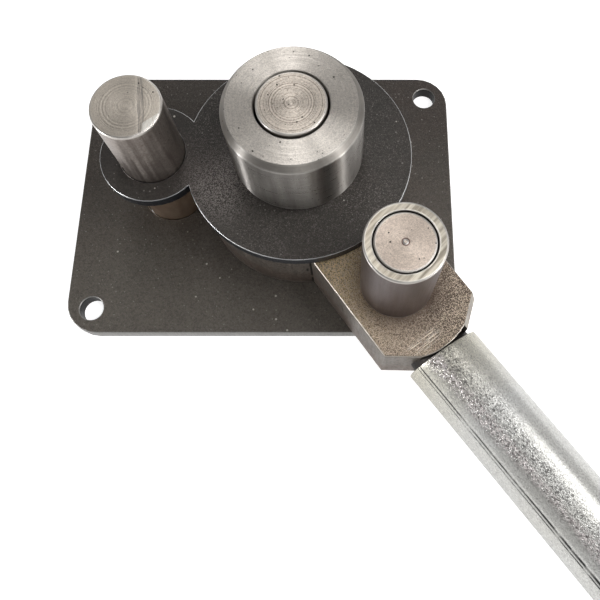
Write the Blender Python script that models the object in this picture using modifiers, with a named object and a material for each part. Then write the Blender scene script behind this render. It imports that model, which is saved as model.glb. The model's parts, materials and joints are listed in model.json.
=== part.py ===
"""Rebar bender: a bench plate with a swinging lever arm that bends bar round a centre die.

The world origin is the middle of the base plate's underside. +X runs to the right of the bench
plate, from the stop post towards the centre axle. +Y runs away from the user, and +Z is up.
All lengths are in metres.
"""

import math

import bmesh
import bpy

# Base plate
PLATE_WIDTH = 0.200
PLATE_DEPTH = 0.149
PLATE_THICKNESS = 0.008
PLATE_CORNER_RADIUS = 0.0167
BOLT_HOLE_RADIUS = 0.006
BOLT_HOLE_INSET = 0.0128

# Places on the base plate, measured from its middle
AXLE_RIGHT_OF_MIDDLE = 0.0205
AXLE_BEHIND_MIDDLE = 0.003
POST_SPACING = 0.070

# Clearance between pieces that touch, and how far a cut runs past the face it opens
FIT_GAP = 0.0003
CUT_OVERRUN = 0.001

# Centre axle and stop post
AXLE_RADIUS = 0.0153
AXLE_JOURNAL_STEP = 0.0047
AXLE_ABOVE_DIE = 0.001
POST_RADIUS = 0.0155
POST_ABOVE_GUIDE = 0.0425
PIN_EDGE_CHAMFER = 0.0005

# Guide plate with a large lobe round the axle and a small lobe round the post
GUIDE_THICKNESS = 0.006
GUIDE_RIM_TO_POST = 0.0158
GUIDE_SMALL_RADIUS = 0.0252

# Die ring round the axle
DIE_RADIUS = 0.0308
DIE_HEIGHT = 0.0435
DIE_BORE_CLEARANCE = 0.0011
DIE_CHAMFER_WIDTH = 0.0023
DIE_CHAMFER_HEIGHT = 0.0033
BORE_EDGE_CHAMFER = 0.0005

# Swing arm: a round hub and a flat bar, cut from one thick plate
ARM_THICKNESS = 0.0366
ARM_WIDTH = 0.0505
HUB_TO_POST_CLEARANCE = 0.001
ARM_BEYOND_FOLLOWER = 0.0365
ARM_CORNER_CUT_LENGTH = 0.010
ARM_CORNER_CUT_WIDTH = 0.013
ARM_END_CROWN = 0.0025
ARM_FACET_LENGTH = 0.003
ARM_FACET_HEIGHT = 0.005
ARM_REST_ANGLE = math.radians(-53.6)
BUSH_WALL = 0.003
WASHER_THICKNESS = 0.0012
WASHER_RIM_WIDTH = 0.009

# Follower pin and its loose sleeve
FOLLOWER_PIN_RADIUS = 0.0125
SLEEVE_RADIUS = 0.0168
SLEEVE_BORE_CLEARANCE = 0.0006
SLEEVE_HEIGHT = 0.0542
SLEEVE_TO_GUIDE_CLEARANCE = 0.0065

# Weld beads: each fills a countersink or a corner, seen from its side as a triangle
WELD_LEG = 0.002

# Handle, which stands a little askew to the arm
HANDLE_SKEW = math.radians(2)
PIPE_WALL = 0.0026
PIPE_LENGTH = 0.600
PIPE_TO_ARM_GAP = 0.0004
PIPE_END_SKEW = math.radians(5)
SPIGOT_TAIL_RADIUS = 0.012
SPIGOT_TO_PIN_WALL = 0.0045
SPIGOT_BODY_LENGTH = 0.060
SPIGOT_END_CHAMFER = 0.002
ROLL_PIN_RADIUS = 0.003
ROLL_PIN_WALL = 0.0008
ROLL_PIN_LENGTH = 0.014
PLUG_FLANGE_THICKNESS = 0.004
PLUG_FLANGE_ROUNDING = 0.0015
PLUG_BODY_LENGTH = 0.022

# Number of sides of the round pieces
LARGE_ROUND_SIDES = 80
ROUND_SIDES = 60
SMALL_ROUND_SIDES = 32
PIPE_SIDES = 40
TINY_ROUND_SIDES = 16
CORNER_STEPS = 6
END_ARC_STEPS = 8
LOBE_ARC_STEPS = 64
SMALL_LOBE_STEPS = 32
MERGE_DISTANCE = 0.00001

# Levels, from the bench upwards
PLATE_TOP = PLATE_THICKNESS
LOWER_WASHER_Z = PLATE_TOP + FIT_GAP
ARM_Z = LOWER_WASHER_Z + WASHER_THICKNESS + FIT_GAP
ARM_TOP = ARM_Z + ARM_THICKNESS
ARM_MIDDLE_Z = (ARM_Z + ARM_TOP) / 2
UPPER_WASHER_Z = ARM_TOP + FIT_GAP
GUIDE_Z = UPPER_WASHER_Z + WASHER_THICKNESS + FIT_GAP
GUIDE_TOP = GUIDE_Z + GUIDE_THICKNESS
DIE_Z = GUIDE_TOP + FIT_GAP
DIE_TOP = DIE_Z + DIE_HEIGHT
AXLE_TOP = DIE_TOP + AXLE_ABOVE_DIE
POST_TOP = GUIDE_TOP + POST_ABOVE_GUIDE
SLEEVE_Z = ARM_TOP + FIT_GAP
SLEEVE_TOP = SLEEVE_Z + SLEEVE_HEIGHT

# Places and radii that follow from the sizes above
AXLE_X = AXLE_RIGHT_OF_MIDDLE
AXLE_Y = AXLE_BEHIND_MIDDLE
POST_X = AXLE_X - POST_SPACING
AXLE_JOURNAL_RADIUS = AXLE_RADIUS + AXLE_JOURNAL_STEP
BUSH_BORE_RADIUS = AXLE_JOURNAL_RADIUS + FIT_GAP
BUSH_RADIUS = BUSH_BORE_RADIUS + BUSH_WALL
WASHER_RADIUS = BUSH_RADIUS + WASHER_RIM_WIDTH
POST_WELD_RADIUS = POST_RADIUS + FIT_GAP + WELD_LEG
HUB_RADIUS = POST_SPACING - POST_WELD_RADIUS - HUB_TO_POST_CLEARANCE
GUIDE_BIG_RADIUS = POST_SPACING - GUIDE_RIM_TO_POST
DIE_BORE_RADIUS = AXLE_RADIUS + DIE_BORE_CLEARANCE
SLEEVE_BORE_RADIUS = FOLLOWER_PIN_RADIUS + SLEEVE_BORE_CLEARANCE
FOLLOWER_REACH = GUIDE_BIG_RADIUS + SLEEVE_TO_GUIDE_CLEARANCE + SLEEVE_RADIUS
ARM_REACH = FOLLOWER_REACH + ARM_BEYOND_FOLLOWER
SPIGOT_TAIL_LENGTH = ARM_BEYOND_FOLLOWER - FOLLOWER_PIN_RADIUS - SPIGOT_TO_PIN_WALL
PIPE_RADIUS = ARM_THICKNESS / 2
PIPE_BORE_RADIUS = PIPE_RADIUS - PIPE_WALL
PIPE_END = PIPE_TO_ARM_GAP + PIPE_LENGTH
PIPE_LONG_SIDE = PIPE_RADIUS * math.tan(PIPE_END_SKEW)
SPIGOT_BODY_RADIUS = PIPE_BORE_RADIUS - FIT_GAP
ROLL_PIN_X = PIPE_TO_ARM_GAP + SPIGOT_BODY_LENGTH / 2

QUARTER_TURN = math.pi / 2
FULL_TURN = 2 * math.pi


def clear_scene():
    """Remove what a new file holds, so that the script can be run again."""
    for old in list(bpy.data.objects):
        bpy.data.objects.remove(old, do_unlink=True)
    for old in list(bpy.data.collections):
        bpy.data.collections.remove(old)


def make_collection(name):
    collection = bpy.data.collections.new(name)
    bpy.context.scene.collection.children.link(collection)
    return collection


def make_material(name, colour, roughness, metallic):
    material = bpy.data.materials.new(name)
    material.use_nodes = True
    shader = material.node_tree.nodes["Principled BSDF"]
    shader.inputs["Base Color"].default_value = (*colour, 1.0)
    shader.inputs["Roughness"].default_value = roughness
    shader.inputs["Metallic"].default_value = metallic
    return material


clear_scene()
parts = make_collection("rebar_bender")
cutters = make_collection("cutters")

dark_steel = make_material("hot_rolled_steel", (0.055, 0.052, 0.050), 0.55, 0.8)
turned_steel = make_material("turned_steel", (0.56, 0.54, 0.51), 0.32, 1.0)
brown_steel = make_material("mill_scale_steel", (0.22, 0.18, 0.14), 0.50, 0.9)
sleeve_steel = make_material("hardened_steel", (0.30, 0.27, 0.26), 0.38, 1.0)
washer_steel = make_material("spring_steel", (0.35, 0.35, 0.36), 0.35, 1.0)
bronze = make_material("bronze", (0.55, 0.36, 0.16), 0.35, 1.0)
weld_metal = make_material("weld_metal", (0.24, 0.23, 0.23), 0.45, 1.0)
galvanised = make_material("galvanised_steel", (0.62, 0.64, 0.65), 0.42, 0.9)
black_plastic = make_material("black_plastic", (0.02, 0.02, 0.02), 0.5, 0.0)


def finish_object(obj, material, collection=parts, parent=None):
    """Give an object its material, collection and parent, and smooth its round faces."""
    for old in obj.users_collection:
        old.objects.unlink(obj)
    collection.objects.link(obj)
    obj.data.materials.clear()
    obj.data.materials.append(material)
    obj.data.shade_smooth()
    obj.data.set_sharp_from_angle(angle=math.radians(30))
    obj.parent = parent
    return obj


def arc(centre, radius, start, end, steps):
    """Points on an arc, both ends included. Angles are in radians, anticlockwise."""
    points = []
    for step in range(steps + 1):
        angle = start + (end - start) * step / steps
        points.append((centre[0] + radius * math.cos(angle), centre[1] + radius * math.sin(angle)))
    return points


def circle(centre, radius, steps):
    """A closed ring of points, without its first point again at the end."""
    return arc(centre, radius, 0, FULL_TURN, steps)[:-1]


def flat_piece(name, outlines, thickness, bottom_z, material, parent=None):
    """A plate cut to the first outline, with the other outlines as holes right through it."""
    curve = bpy.data.curves.new(name, "CURVE")
    curve.dimensions = "2D"
    curve.fill_mode = "BOTH"
    curve.extrude = thickness / 2
    for outline in outlines:
        spline = curve.splines.new("POLY")
        spline.points.add(len(outline) - 1)
        for point, (x, y) in zip(spline.points, outline):
            point.co = (x, y, 0, 1)
        spline.use_cyclic_u = True
    guide = bpy.data.objects.new(name + "_outline", curve)
    guide.location.z = bottom_z + thickness / 2
    bpy.context.scene.collection.objects.link(guide)
    bpy.context.view_layer.update()
    mesh = bpy.data.meshes.new_from_object(guide.evaluated_get(bpy.context.evaluated_depsgraph_get()))
    weld_caps(mesh)
    piece = bpy.data.objects.new(name, mesh)
    bpy.context.scene.collection.objects.link(piece)
    piece.matrix_world = guide.matrix_world
    bpy.data.objects.remove(guide, do_unlink=True)
    return finish_object(piece, material, parent=parent)


def weld_caps(mesh):
    shape = bmesh.new()
    shape.from_mesh(mesh)
    bmesh.ops.remove_doubles(shape, verts=shape.verts, dist=MERGE_DISTANCE)
    bmesh.ops.recalc_face_normals(shape, faces=shape.faces)
    shape.to_mesh(mesh)
    shape.free()


def turned_piece(name, profile, sides, material, closed=False, collection=parts, parent=None):
    """A lathe-turned shape about its own Z axis.

    The profile's points are (radius, height), and run down the outer side. An open profile
    starts and ends on the axis, and a closed one goes back up the bore.
    """
    mesh = bpy.data.meshes.new(name)
    points = [(radius, 0, height) for radius, height in profile]
    edges = [(i, i + 1) for i in range(len(points) - 1)]
    if closed:
        edges.append((len(points) - 1, 0))
    mesh.from_pydata(points, edges, [])
    piece = bpy.data.objects.new(name, mesh)
    bpy.context.scene.collection.objects.link(piece)
    screw = piece.modifiers.new("turn", "SCREW")
    screw.angle = FULL_TURN
    screw.steps = sides
    screw.render_steps = sides
    screw.use_merge_vertices = True
    screw.merge_threshold = MERGE_DISTANCE
    screw.use_smooth_shade = True
    bpy.context.view_layer.update()
    turned = bpy.data.meshes.new_from_object(piece.evaluated_get(bpy.context.evaluated_depsgraph_get()))
    piece.modifiers.clear()
    piece.data = turned
    bpy.data.meshes.remove(mesh)
    return finish_object(piece, material, collection, parent)


def make_cutter(obj):
    obj.display_type = "WIRE"
    obj.hide_render = True
    return obj


def round_cutter(name, radius, low, high, sides, place, parent=None):
    """A straight cylinder along Z, from low to high, over the place (x, y)."""
    profile = [(0, high), (radius, high), (radius, low), (0, low)]
    cutter = make_cutter(turned_piece(name, profile, sides, dark_steel, collection=cutters, parent=parent))
    cutter.location = (place[0], place[1], 0)
    return cutter


def countersink_cutter(name, hole_radius, bottom_z, sides, place, parent=None):
    """A cone that opens downwards, which a weld bead fills."""
    wide = hole_radius + WELD_LEG + CUT_OVERRUN
    low = bottom_z - CUT_OVERRUN
    narrow = hole_radius - CUT_OVERRUN
    high = bottom_z + WELD_LEG + CUT_OVERRUN
    profile = [(0, high), (narrow, high), (wide, low), (0, low)]
    cutter = make_cutter(turned_piece(name, profile, sides, dark_steel, collection=cutters, parent=parent))
    cutter.location = (place[0], place[1], 0)
    return cutter


def cut(piece, cutter, operation="DIFFERENCE"):
    boolean = piece.modifiers.new("cut_" + cutter.name, "BOOLEAN")
    boolean.operation = operation
    boolean.solver = "EXACT"
    boolean.object = cutter


def make_plug_weld(name, hole_radius, bottom_z, place, parent=None):
    """The bead that fills a countersink under a plate, a hair inside the plate's face."""
    slope_inset = FIT_GAP * math.sqrt(2)
    low = bottom_z + FIT_GAP
    reach = WELD_LEG - slope_inset - FIT_GAP
    profile = [(hole_radius, low + reach), (hole_radius + reach, low), (hole_radius, low)]
    bead = turned_piece(name, profile, SMALL_ROUND_SIDES, weld_metal, closed=True, parent=parent)
    bead.location = (place[0], place[1], 0)
    return bead


def make_base_plate():
    half_width = PLATE_WIDTH / 2 - PLATE_CORNER_RADIUS
    half_depth = PLATE_DEPTH / 2 - PLATE_CORNER_RADIUS
    outline = []
    for turn, (side_x, side_y) in enumerate(((1, 1), (-1, 1), (-1, -1), (1, -1))):
        start = turn * QUARTER_TURN
        corner = (side_x * half_width, side_y * half_depth)
        outline += arc(corner, PLATE_CORNER_RADIUS, start, start + QUARTER_TURN, CORNER_STEPS)
    hole_x = PLATE_WIDTH / 2 - BOLT_HOLE_INSET
    hole_y = PLATE_DEPTH / 2 - BOLT_HOLE_INSET
    holes = []
    for side_x in (-1, 1):
        for side_y in (-1, 1):
            holes.append(circle((side_x * hole_x, side_y * hole_y), BOLT_HOLE_RADIUS, SMALL_ROUND_SIDES))
    holes.append(circle((AXLE_X, AXLE_Y), AXLE_RADIUS + FIT_GAP, ROUND_SIDES))
    holes.append(circle((POST_X, AXLE_Y), POST_RADIUS + FIT_GAP, ROUND_SIDES))
    plate = flat_piece("base_plate", [outline] + holes, PLATE_THICKNESS, 0, dark_steel)
    sinks = (("axle_foot_sink", AXLE_RADIUS, AXLE_X), ("post_foot_sink", POST_RADIUS, POST_X))
    for name, pin_radius, x in sinks:
        cut(plate, countersink_cutter(name, pin_radius + FIT_GAP, 0, ROUND_SIDES, (x, AXLE_Y)))
    make_plug_weld("axle_foot_weld", AXLE_RADIUS + FIT_GAP, 0, (AXLE_X, AXLE_Y))
    make_plug_weld("post_foot_weld", POST_RADIUS + FIT_GAP, 0, (POST_X, AXLE_Y))


def make_centre_axle():
    """A turned axle with a thicker journal, whose shoulder carries the guide plate."""
    low = FIT_GAP
    shoulder_low = PLATE_TOP + FIT_GAP
    shoulder_high = GUIDE_Z - FIT_GAP
    profile = [
        (0, AXLE_TOP),
        (AXLE_RADIUS - PIN_EDGE_CHAMFER, AXLE_TOP),
        (AXLE_RADIUS, AXLE_TOP - PIN_EDGE_CHAMFER),
        (AXLE_RADIUS, shoulder_high),
        (AXLE_JOURNAL_RADIUS, shoulder_high),
        (AXLE_JOURNAL_RADIUS, shoulder_low),
        (AXLE_RADIUS, shoulder_low),
        (AXLE_RADIUS, low),
        (0, low),
    ]
    axle = turned_piece("centre_axle", profile, ROUND_SIDES, turned_steel)
    axle.location = (AXLE_X, AXLE_Y, 0)


def make_stop_post():
    profile = [
        (0, POST_TOP),
        (POST_RADIUS - PIN_EDGE_CHAMFER, POST_TOP),
        (POST_RADIUS, POST_TOP - PIN_EDGE_CHAMFER),
        (POST_RADIUS, FIT_GAP),
        (0, FIT_GAP),
    ]
    post = turned_piece("stop_post", profile, ROUND_SIDES, turned_steel)
    post.location = (POST_X, AXLE_Y, 0)


def make_guide_plate():
    """Two overlapping round lobes in one outline, with a hole for the axle and one for the post."""
    neck_x = (POST_SPACING ** 2 + GUIDE_BIG_RADIUS ** 2 - GUIDE_SMALL_RADIUS ** 2) / (2 * POST_SPACING)
    big_half_angle = math.acos(neck_x / GUIDE_BIG_RADIUS)
    small_half_angle = math.acos((POST_SPACING - neck_x) / GUIDE_SMALL_RADIUS)
    axle = (AXLE_X, AXLE_Y)
    post = (POST_X, AXLE_Y)
    big = arc(axle, GUIDE_BIG_RADIUS, big_half_angle - math.pi, math.pi - big_half_angle, LOBE_ARC_STEPS)
    small = arc(post, GUIDE_SMALL_RADIUS, small_half_angle, FULL_TURN - small_half_angle, SMALL_LOBE_STEPS)
    outline = big + small[1:-1]
    axle_hole = circle(axle, AXLE_RADIUS + FIT_GAP, ROUND_SIDES)
    post_hole = circle(post, POST_RADIUS + FIT_GAP, ROUND_SIDES)
    flat_piece("guide_plate", [outline, axle_hole, post_hole], GUIDE_THICKNESS, GUIDE_Z, dark_steel)


def make_post_guide_weld():
    """The fillet under the small lobe that ties the guide plate to the post."""
    inner = POST_RADIUS + FIT_GAP
    high = GUIDE_Z - FIT_GAP
    profile = [(inner, high), (inner + WELD_LEG, high), (inner, high - WELD_LEG)]
    bead = turned_piece("post_guide_weld", profile, SMALL_ROUND_SIDES, weld_metal, closed=True)
    bead.location = (POST_X, AXLE_Y, 0)


def make_washer(name, low):
    inner = AXLE_JOURNAL_RADIUS + FIT_GAP
    high = low + WASHER_THICKNESS
    profile = [(inner, high), (WASHER_RADIUS, high), (WASHER_RADIUS, low), (inner, low)]
    washer = turned_piece(name, profile, ROUND_SIDES, washer_steel, closed=True)
    washer.location = (AXLE_X, AXLE_Y, 0)


def make_die_ring():
    """The ring that the bar is bent round, chamfered at both ends. It turns freely on the axle."""
    rim = DIE_RADIUS - DIE_CHAMFER_WIDTH
    profile = [
        (DIE_BORE_RADIUS + BORE_EDGE_CHAMFER, DIE_TOP),
        (rim, DIE_TOP),
        (DIE_RADIUS, DIE_TOP - DIE_CHAMFER_HEIGHT),
        (DIE_RADIUS, DIE_Z + DIE_CHAMFER_HEIGHT),
        (rim, DIE_Z),
        (DIE_BORE_RADIUS, DIE_Z),
        (DIE_BORE_RADIUS, DIE_TOP - BORE_EDGE_CHAMFER),
    ]
    ring = turned_piece("die_ring", profile, LARGE_ROUND_SIDES, turned_steel, closed=True)
    ring.location = (AXLE_X, AXLE_Y, 0)


def make_arm_pivot():
    """The empty on the axle that the arm and all that swings with it hang from.

    Its +X runs along the arm, from the axle to the handle's end.
    """
    pivot = bpy.data.objects.new("arm_pivot", None)
    parts.objects.link(pivot)
    pivot.location = (AXLE_X, AXLE_Y, 0)
    pivot.rotation_euler.z = ARM_REST_ANGLE
    return pivot


def make_handle_mount(pivot):
    """The empty at the arm's end that carries the handle. Its +X runs along the pipe."""
    mount = bpy.data.objects.new("handle_mount", None)
    parts.objects.link(mount)
    mount.parent = pivot
    mount.location = (ARM_REACH, 0, ARM_MIDDLE_Z)
    mount.rotation_euler.z = HANDLE_SKEW
    return mount


def lay_along_handle(piece, x):
    """Turn a piece from upright to lying along the handle, with its low end towards the arm."""
    piece.rotation_euler.y = QUARTER_TURN
    piece.location = (x, 0, 0)


def make_facet_cutter(middle_x, middle_y, pivot):
    """A disc whose lower face is the slope along the top edge of the arm's left front corner."""
    facing = math.atan2(ARM_CORNER_CUT_LENGTH, ARM_CORNER_CUT_WIDTH)
    slope = math.atan2(ARM_FACET_HEIGHT, ARM_FACET_LENGTH * math.cos(facing))
    size = ARM_CORNER_CUT_WIDTH
    cutter = round_cutter("corner_facet", size, 0, size, ROUND_SIDES, (middle_x, middle_y), pivot)
    cutter.location.z = ARM_TOP - ARM_FACET_HEIGHT / 2
    cutter.rotation_euler = (0, slope, facing)
    return cutter


def make_swing_arm(pivot, mount):
    half = ARM_WIDTH / 2
    crown_half = half - ARM_CORNER_CUT_WIDTH
    crown_radius = (crown_half ** 2 + ARM_END_CROWN ** 2) / (2 * ARM_END_CROWN)
    crown_angle = math.asin(crown_half / crown_radius)
    cut_start = ARM_REACH - ARM_END_CROWN - ARM_CORNER_CUT_LENGTH
    crown = arc((ARM_REACH - crown_radius, 0), crown_radius, -crown_angle, crown_angle, END_ARC_STEPS)
    facing = math.atan2(ARM_CORNER_CUT_LENGTH, ARM_CORNER_CUT_WIDTH)
    facet_width = ARM_FACET_LENGTH * math.cos(facing)
    crown_end = ARM_REACH - ARM_END_CROWN
    facet_end = (crown_end + facet_width * math.cos(facing), crown_half + facet_width * math.sin(facing))
    facet_start = (cut_start + ARM_FACET_LENGTH, half)
    outline = [(0, -half), (cut_start, -half)] + crown + [facet_end, facet_start, (0, half)]
    arm = flat_piece("swing_arm", [outline], ARM_THICKNESS, ARM_Z, brown_steel, pivot)
    hub = round_cutter("hub_disc", HUB_RADIUS, ARM_Z, ARM_TOP, LARGE_ROUND_SIDES, (0, 0), pivot)
    cut(arm, hub, "UNION")
    facet_middle = cut_start + (ARM_CORNER_CUT_LENGTH + ARM_FACET_LENGTH) / 2
    cut(arm, make_facet_cutter(facet_middle, half - ARM_CORNER_CUT_WIDTH / 2, pivot))
    below = ARM_Z - CUT_OVERRUN
    above = ARM_TOP + CUT_OVERRUN
    cut(arm, round_cutter("bush_bore", BUSH_RADIUS + FIT_GAP, below, above, ROUND_SIDES, (0, 0), pivot))
    pin_hole = FOLLOWER_PIN_RADIUS + FIT_GAP
    place = (FOLLOWER_REACH, 0)
    cut(arm, round_cutter("follower_bore", pin_hole, below, above, ROUND_SIDES, place, pivot))
    cut(arm, countersink_cutter("follower_sink", pin_hole, ARM_Z, ROUND_SIDES, place, pivot))
    tail_bore = round_cutter(
        "spigot_bore",
        SPIGOT_TAIL_RADIUS + FIT_GAP,
        -SPIGOT_TAIL_LENGTH - FIT_GAP,
        ARM_END_CROWN + CUT_OVERRUN,
        SMALL_ROUND_SIDES,
        (0, 0),
        mount,
    )
    lay_along_handle(tail_bore, 0)
    cut(arm, tail_bore)


def make_arm_bush(pivot):
    low = ARM_Z
    profile = [
        (BUSH_BORE_RADIUS, ARM_TOP),
        (BUSH_RADIUS, ARM_TOP),
        (BUSH_RADIUS, low),
        (BUSH_BORE_RADIUS, low),
    ]
    turned_piece("arm_bush", profile, ROUND_SIDES, bronze, closed=True, parent=pivot)


def make_follower(pivot):
    """The pin welded into the arm, and the loose sleeve that rolls along the bar."""
    low = ARM_Z + FIT_GAP
    pin_profile = [
        (0, SLEEVE_TOP),
        (FOLLOWER_PIN_RADIUS - PIN_EDGE_CHAMFER, SLEEVE_TOP),
        (FOLLOWER_PIN_RADIUS, SLEEVE_TOP - PIN_EDGE_CHAMFER),
        (FOLLOWER_PIN_RADIUS, low),
        (0, low),
    ]
    pin = turned_piece("follower_pin", pin_profile, ROUND_SIDES, turned_steel, parent=pivot)
    pin.location = (FOLLOWER_REACH, 0, 0)
    hole = FOLLOWER_PIN_RADIUS + FIT_GAP
    make_plug_weld("follower_pin_weld", hole, ARM_Z, (FOLLOWER_REACH, 0), pivot)
    sleeve_profile = [
        (SLEEVE_BORE_RADIUS, SLEEVE_TOP),
        (SLEEVE_RADIUS - PIN_EDGE_CHAMFER, SLEEVE_TOP),
        (SLEEVE_RADIUS, SLEEVE_TOP - PIN_EDGE_CHAMFER),
        (SLEEVE_RADIUS, SLEEVE_Z),
        (SLEEVE_BORE_RADIUS, SLEEVE_Z),
    ]
    sleeve = turned_piece("follower_sleeve", sleeve_profile, ROUND_SIDES, sleeve_steel, True, parent=pivot)
    sleeve.location = (FOLLOWER_REACH, 0, 0)


def make_handle(mount):
    tail_low = -SPIGOT_TAIL_LENGTH - PIPE_TO_ARM_GAP
    spigot_profile = [
        (0, SPIGOT_BODY_LENGTH),
        (SPIGOT_BODY_RADIUS - SPIGOT_END_CHAMFER, SPIGOT_BODY_LENGTH),
        (SPIGOT_BODY_RADIUS, SPIGOT_BODY_LENGTH - SPIGOT_END_CHAMFER),
        (SPIGOT_BODY_RADIUS, 0),
        (SPIGOT_TAIL_RADIUS, 0),
        (SPIGOT_TAIL_RADIUS, tail_low),
        (0, tail_low),
    ]
    spigot = turned_piece("handle_spigot", spigot_profile, PIPE_SIDES, weld_metal, parent=mount)
    lay_along_handle(spigot, PIPE_TO_ARM_GAP)

    pipe_low = -PIPE_LONG_SIDE - CUT_OVERRUN
    pipe_profile = [
        (PIPE_BORE_RADIUS, PIPE_LENGTH),
        (PIPE_RADIUS, PIPE_LENGTH),
        (PIPE_RADIUS, pipe_low),
        (PIPE_BORE_RADIUS, pipe_low),
    ]
    pipe = turned_piece("handle_pipe", pipe_profile, PIPE_SIDES, galvanised, closed=True, parent=mount)
    lay_along_handle(pipe, PIPE_TO_ARM_GAP)
    end_cutter = round_cutter(
        "pipe_end", PIPE_RADIUS + CUT_OVERRUN, 2 * pipe_low, 0, PIPE_SIDES, (0, 0), mount
    )
    lay_along_handle(end_cutter, PIPE_TO_ARM_GAP)
    end_cutter.rotation_euler.z = -PIPE_END_SKEW
    cut(pipe, end_cutter)

    pin_low = FIT_GAP - PIPE_RADIUS
    pin_high = pin_low + ROLL_PIN_LENGTH
    pin_profile = [
        (ROLL_PIN_RADIUS - ROLL_PIN_WALL, pin_high),
        (ROLL_PIN_RADIUS, pin_high),
        (ROLL_PIN_RADIUS, pin_low),
        (ROLL_PIN_RADIUS - ROLL_PIN_WALL, pin_low),
    ]
    roll_pin = turned_piece(
        "handle_roll_pin", pin_profile, TINY_ROUND_SIDES, washer_steel, closed=True, parent=mount
    )
    roll_pin.location = (ROLL_PIN_X, 0, 0)
    pin_bore = round_cutter(
        "roll_pin_bore",
        ROLL_PIN_RADIUS + FIT_GAP,
        -PIPE_RADIUS - CUT_OVERRUN,
        pin_high + FIT_GAP,
        TINY_ROUND_SIDES,
        (ROLL_PIN_X, 0),
        mount,
    )
    cut(spigot, pin_bore)
    cut(pipe, pin_bore)

    plug_radius = PIPE_BORE_RADIUS - FIT_GAP
    plug_profile = [
        (0, PLUG_FLANGE_THICKNESS),
        (PIPE_RADIUS - PLUG_FLANGE_ROUNDING, PLUG_FLANGE_THICKNESS),
        (PIPE_RADIUS, PLUG_FLANGE_THICKNESS - PLUG_FLANGE_ROUNDING),
        (PIPE_RADIUS, 0),
        (plug_radius, 0),
        (plug_radius, -PLUG_BODY_LENGTH),
        (0, -PLUG_BODY_LENGTH),
    ]
    plug = turned_piece("handle_end_plug", plug_profile, PIPE_SIDES, black_plastic, parent=mount)
    lay_along_handle(plug, PIPE_END + FIT_GAP)


make_base_plate()
make_centre_axle()
make_stop_post()
make_guide_plate()
make_post_guide_weld()
make_washer("lower_thrust_washer", LOWER_WASHER_Z)
make_washer("upper_thrust_washer", UPPER_WASHER_Z)
make_die_ring()
arm_pivot = make_arm_pivot()
handle_mount = make_handle_mount(arm_pivot)
make_swing_arm(arm_pivot, handle_mount)
make_arm_bush(arm_pivot)
make_follower(arm_pivot)
make_handle(handle_mount)
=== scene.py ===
# %% [markdown]
# A rebar bender for the bench: a dark plate that is bolted down, a fixed axle with a loose die
# ring on it, a stop post, and a thick swinging arm that carries a follower and a pipe handle.
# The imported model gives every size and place. This lesson builds the surface that the eye sees
# over it: true edges, turning and saw marks, weld beads, and a finish for each kind of steel.

import json
import math

import bmesh
import bpy
import numpy as np
from mathutils import Matrix, Quaternion, Vector
from mathutils.geometry import delaunay_2d_cdt


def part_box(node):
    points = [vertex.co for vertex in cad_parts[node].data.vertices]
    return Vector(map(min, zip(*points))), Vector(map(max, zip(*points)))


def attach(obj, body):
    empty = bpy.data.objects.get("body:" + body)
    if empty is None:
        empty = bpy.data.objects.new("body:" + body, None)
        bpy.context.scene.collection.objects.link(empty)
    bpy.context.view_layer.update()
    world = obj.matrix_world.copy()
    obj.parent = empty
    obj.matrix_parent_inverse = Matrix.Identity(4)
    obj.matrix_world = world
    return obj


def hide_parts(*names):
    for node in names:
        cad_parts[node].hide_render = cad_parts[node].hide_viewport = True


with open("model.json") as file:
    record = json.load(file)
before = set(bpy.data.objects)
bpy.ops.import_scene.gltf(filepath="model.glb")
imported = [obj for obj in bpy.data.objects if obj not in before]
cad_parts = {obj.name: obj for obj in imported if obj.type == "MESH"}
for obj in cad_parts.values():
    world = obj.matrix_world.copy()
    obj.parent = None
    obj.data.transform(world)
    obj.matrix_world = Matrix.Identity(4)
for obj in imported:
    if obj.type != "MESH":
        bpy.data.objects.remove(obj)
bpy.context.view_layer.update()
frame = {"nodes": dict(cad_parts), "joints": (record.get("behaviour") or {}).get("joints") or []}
MM = 0.001
TOUCH = 0.02 * MM
FULL_TURN = 2 * math.pi

# %% [markdown]
# Nothing here is sized by eye. A piece that stands for a solid takes its radius, its height and
# its place from that solid's own corner points, so it still fits when the solid changes.


# %% Read sizes from the solids
def points_of(node):
    """The corner points of a solid, as rows of x, y and z."""
    mesh = frame["nodes"][node].data
    flat = np.empty(len(mesh.vertices) * 3)
    mesh.vertices.foreach_get("co", flat)
    return flat.reshape(-1, 3)


def middle_of(node):
    low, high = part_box(node)
    return (low + high) / 2


def radii_at(node, level):
    """The smallest and largest distance from a round piece's axis, among its points at a level."""
    centre = middle_of(node)
    points = points_of(node)
    near = points[abs(points[:, 2] - level) < TOUCH]
    reach = np.hypot(near[:, 0] - centre.x, near[:, 1] - centre.y)
    return float(reach.min()), float(reach.max())


def levels_of(node):
    """The heights at which a round piece has points, from the top down."""
    heights = sorted({round(float(z), 6) for z in points_of(node)[:, 2]}, reverse=True)
    return [z for i, z in enumerate(heights) if i == 0 or heights[i - 1] - z > TOUCH]


joints = {joint["name"]: joint for joint in frame["joints"]}
AXLE = Vector((*joints["arm_swing"]["pos_m"][:2], 0))
FOLLOWER = Vector((*joints["follower_spin"]["pos_m"][:2], 0))
POST = Vector((*middle_of("stop_post").xy, 0))
ARM_ANGLE = math.atan2(FOLLOWER.y - AXLE.y, FOLLOWER.x - AXLE.x)
print(f"arm at {math.degrees(ARM_ANGLE):.1f} degrees, reach {(FOLLOWER - AXLE).length / MM:.1f} mm")

# %% [markdown]
# The camera stands where the photographer stood: a little to the right of the plate's middle,
# close to its near edge, and looking steeply down. A camera like this one has its optical axis
# off the middle of the cropped picture, which Blender calls shift.

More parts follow.
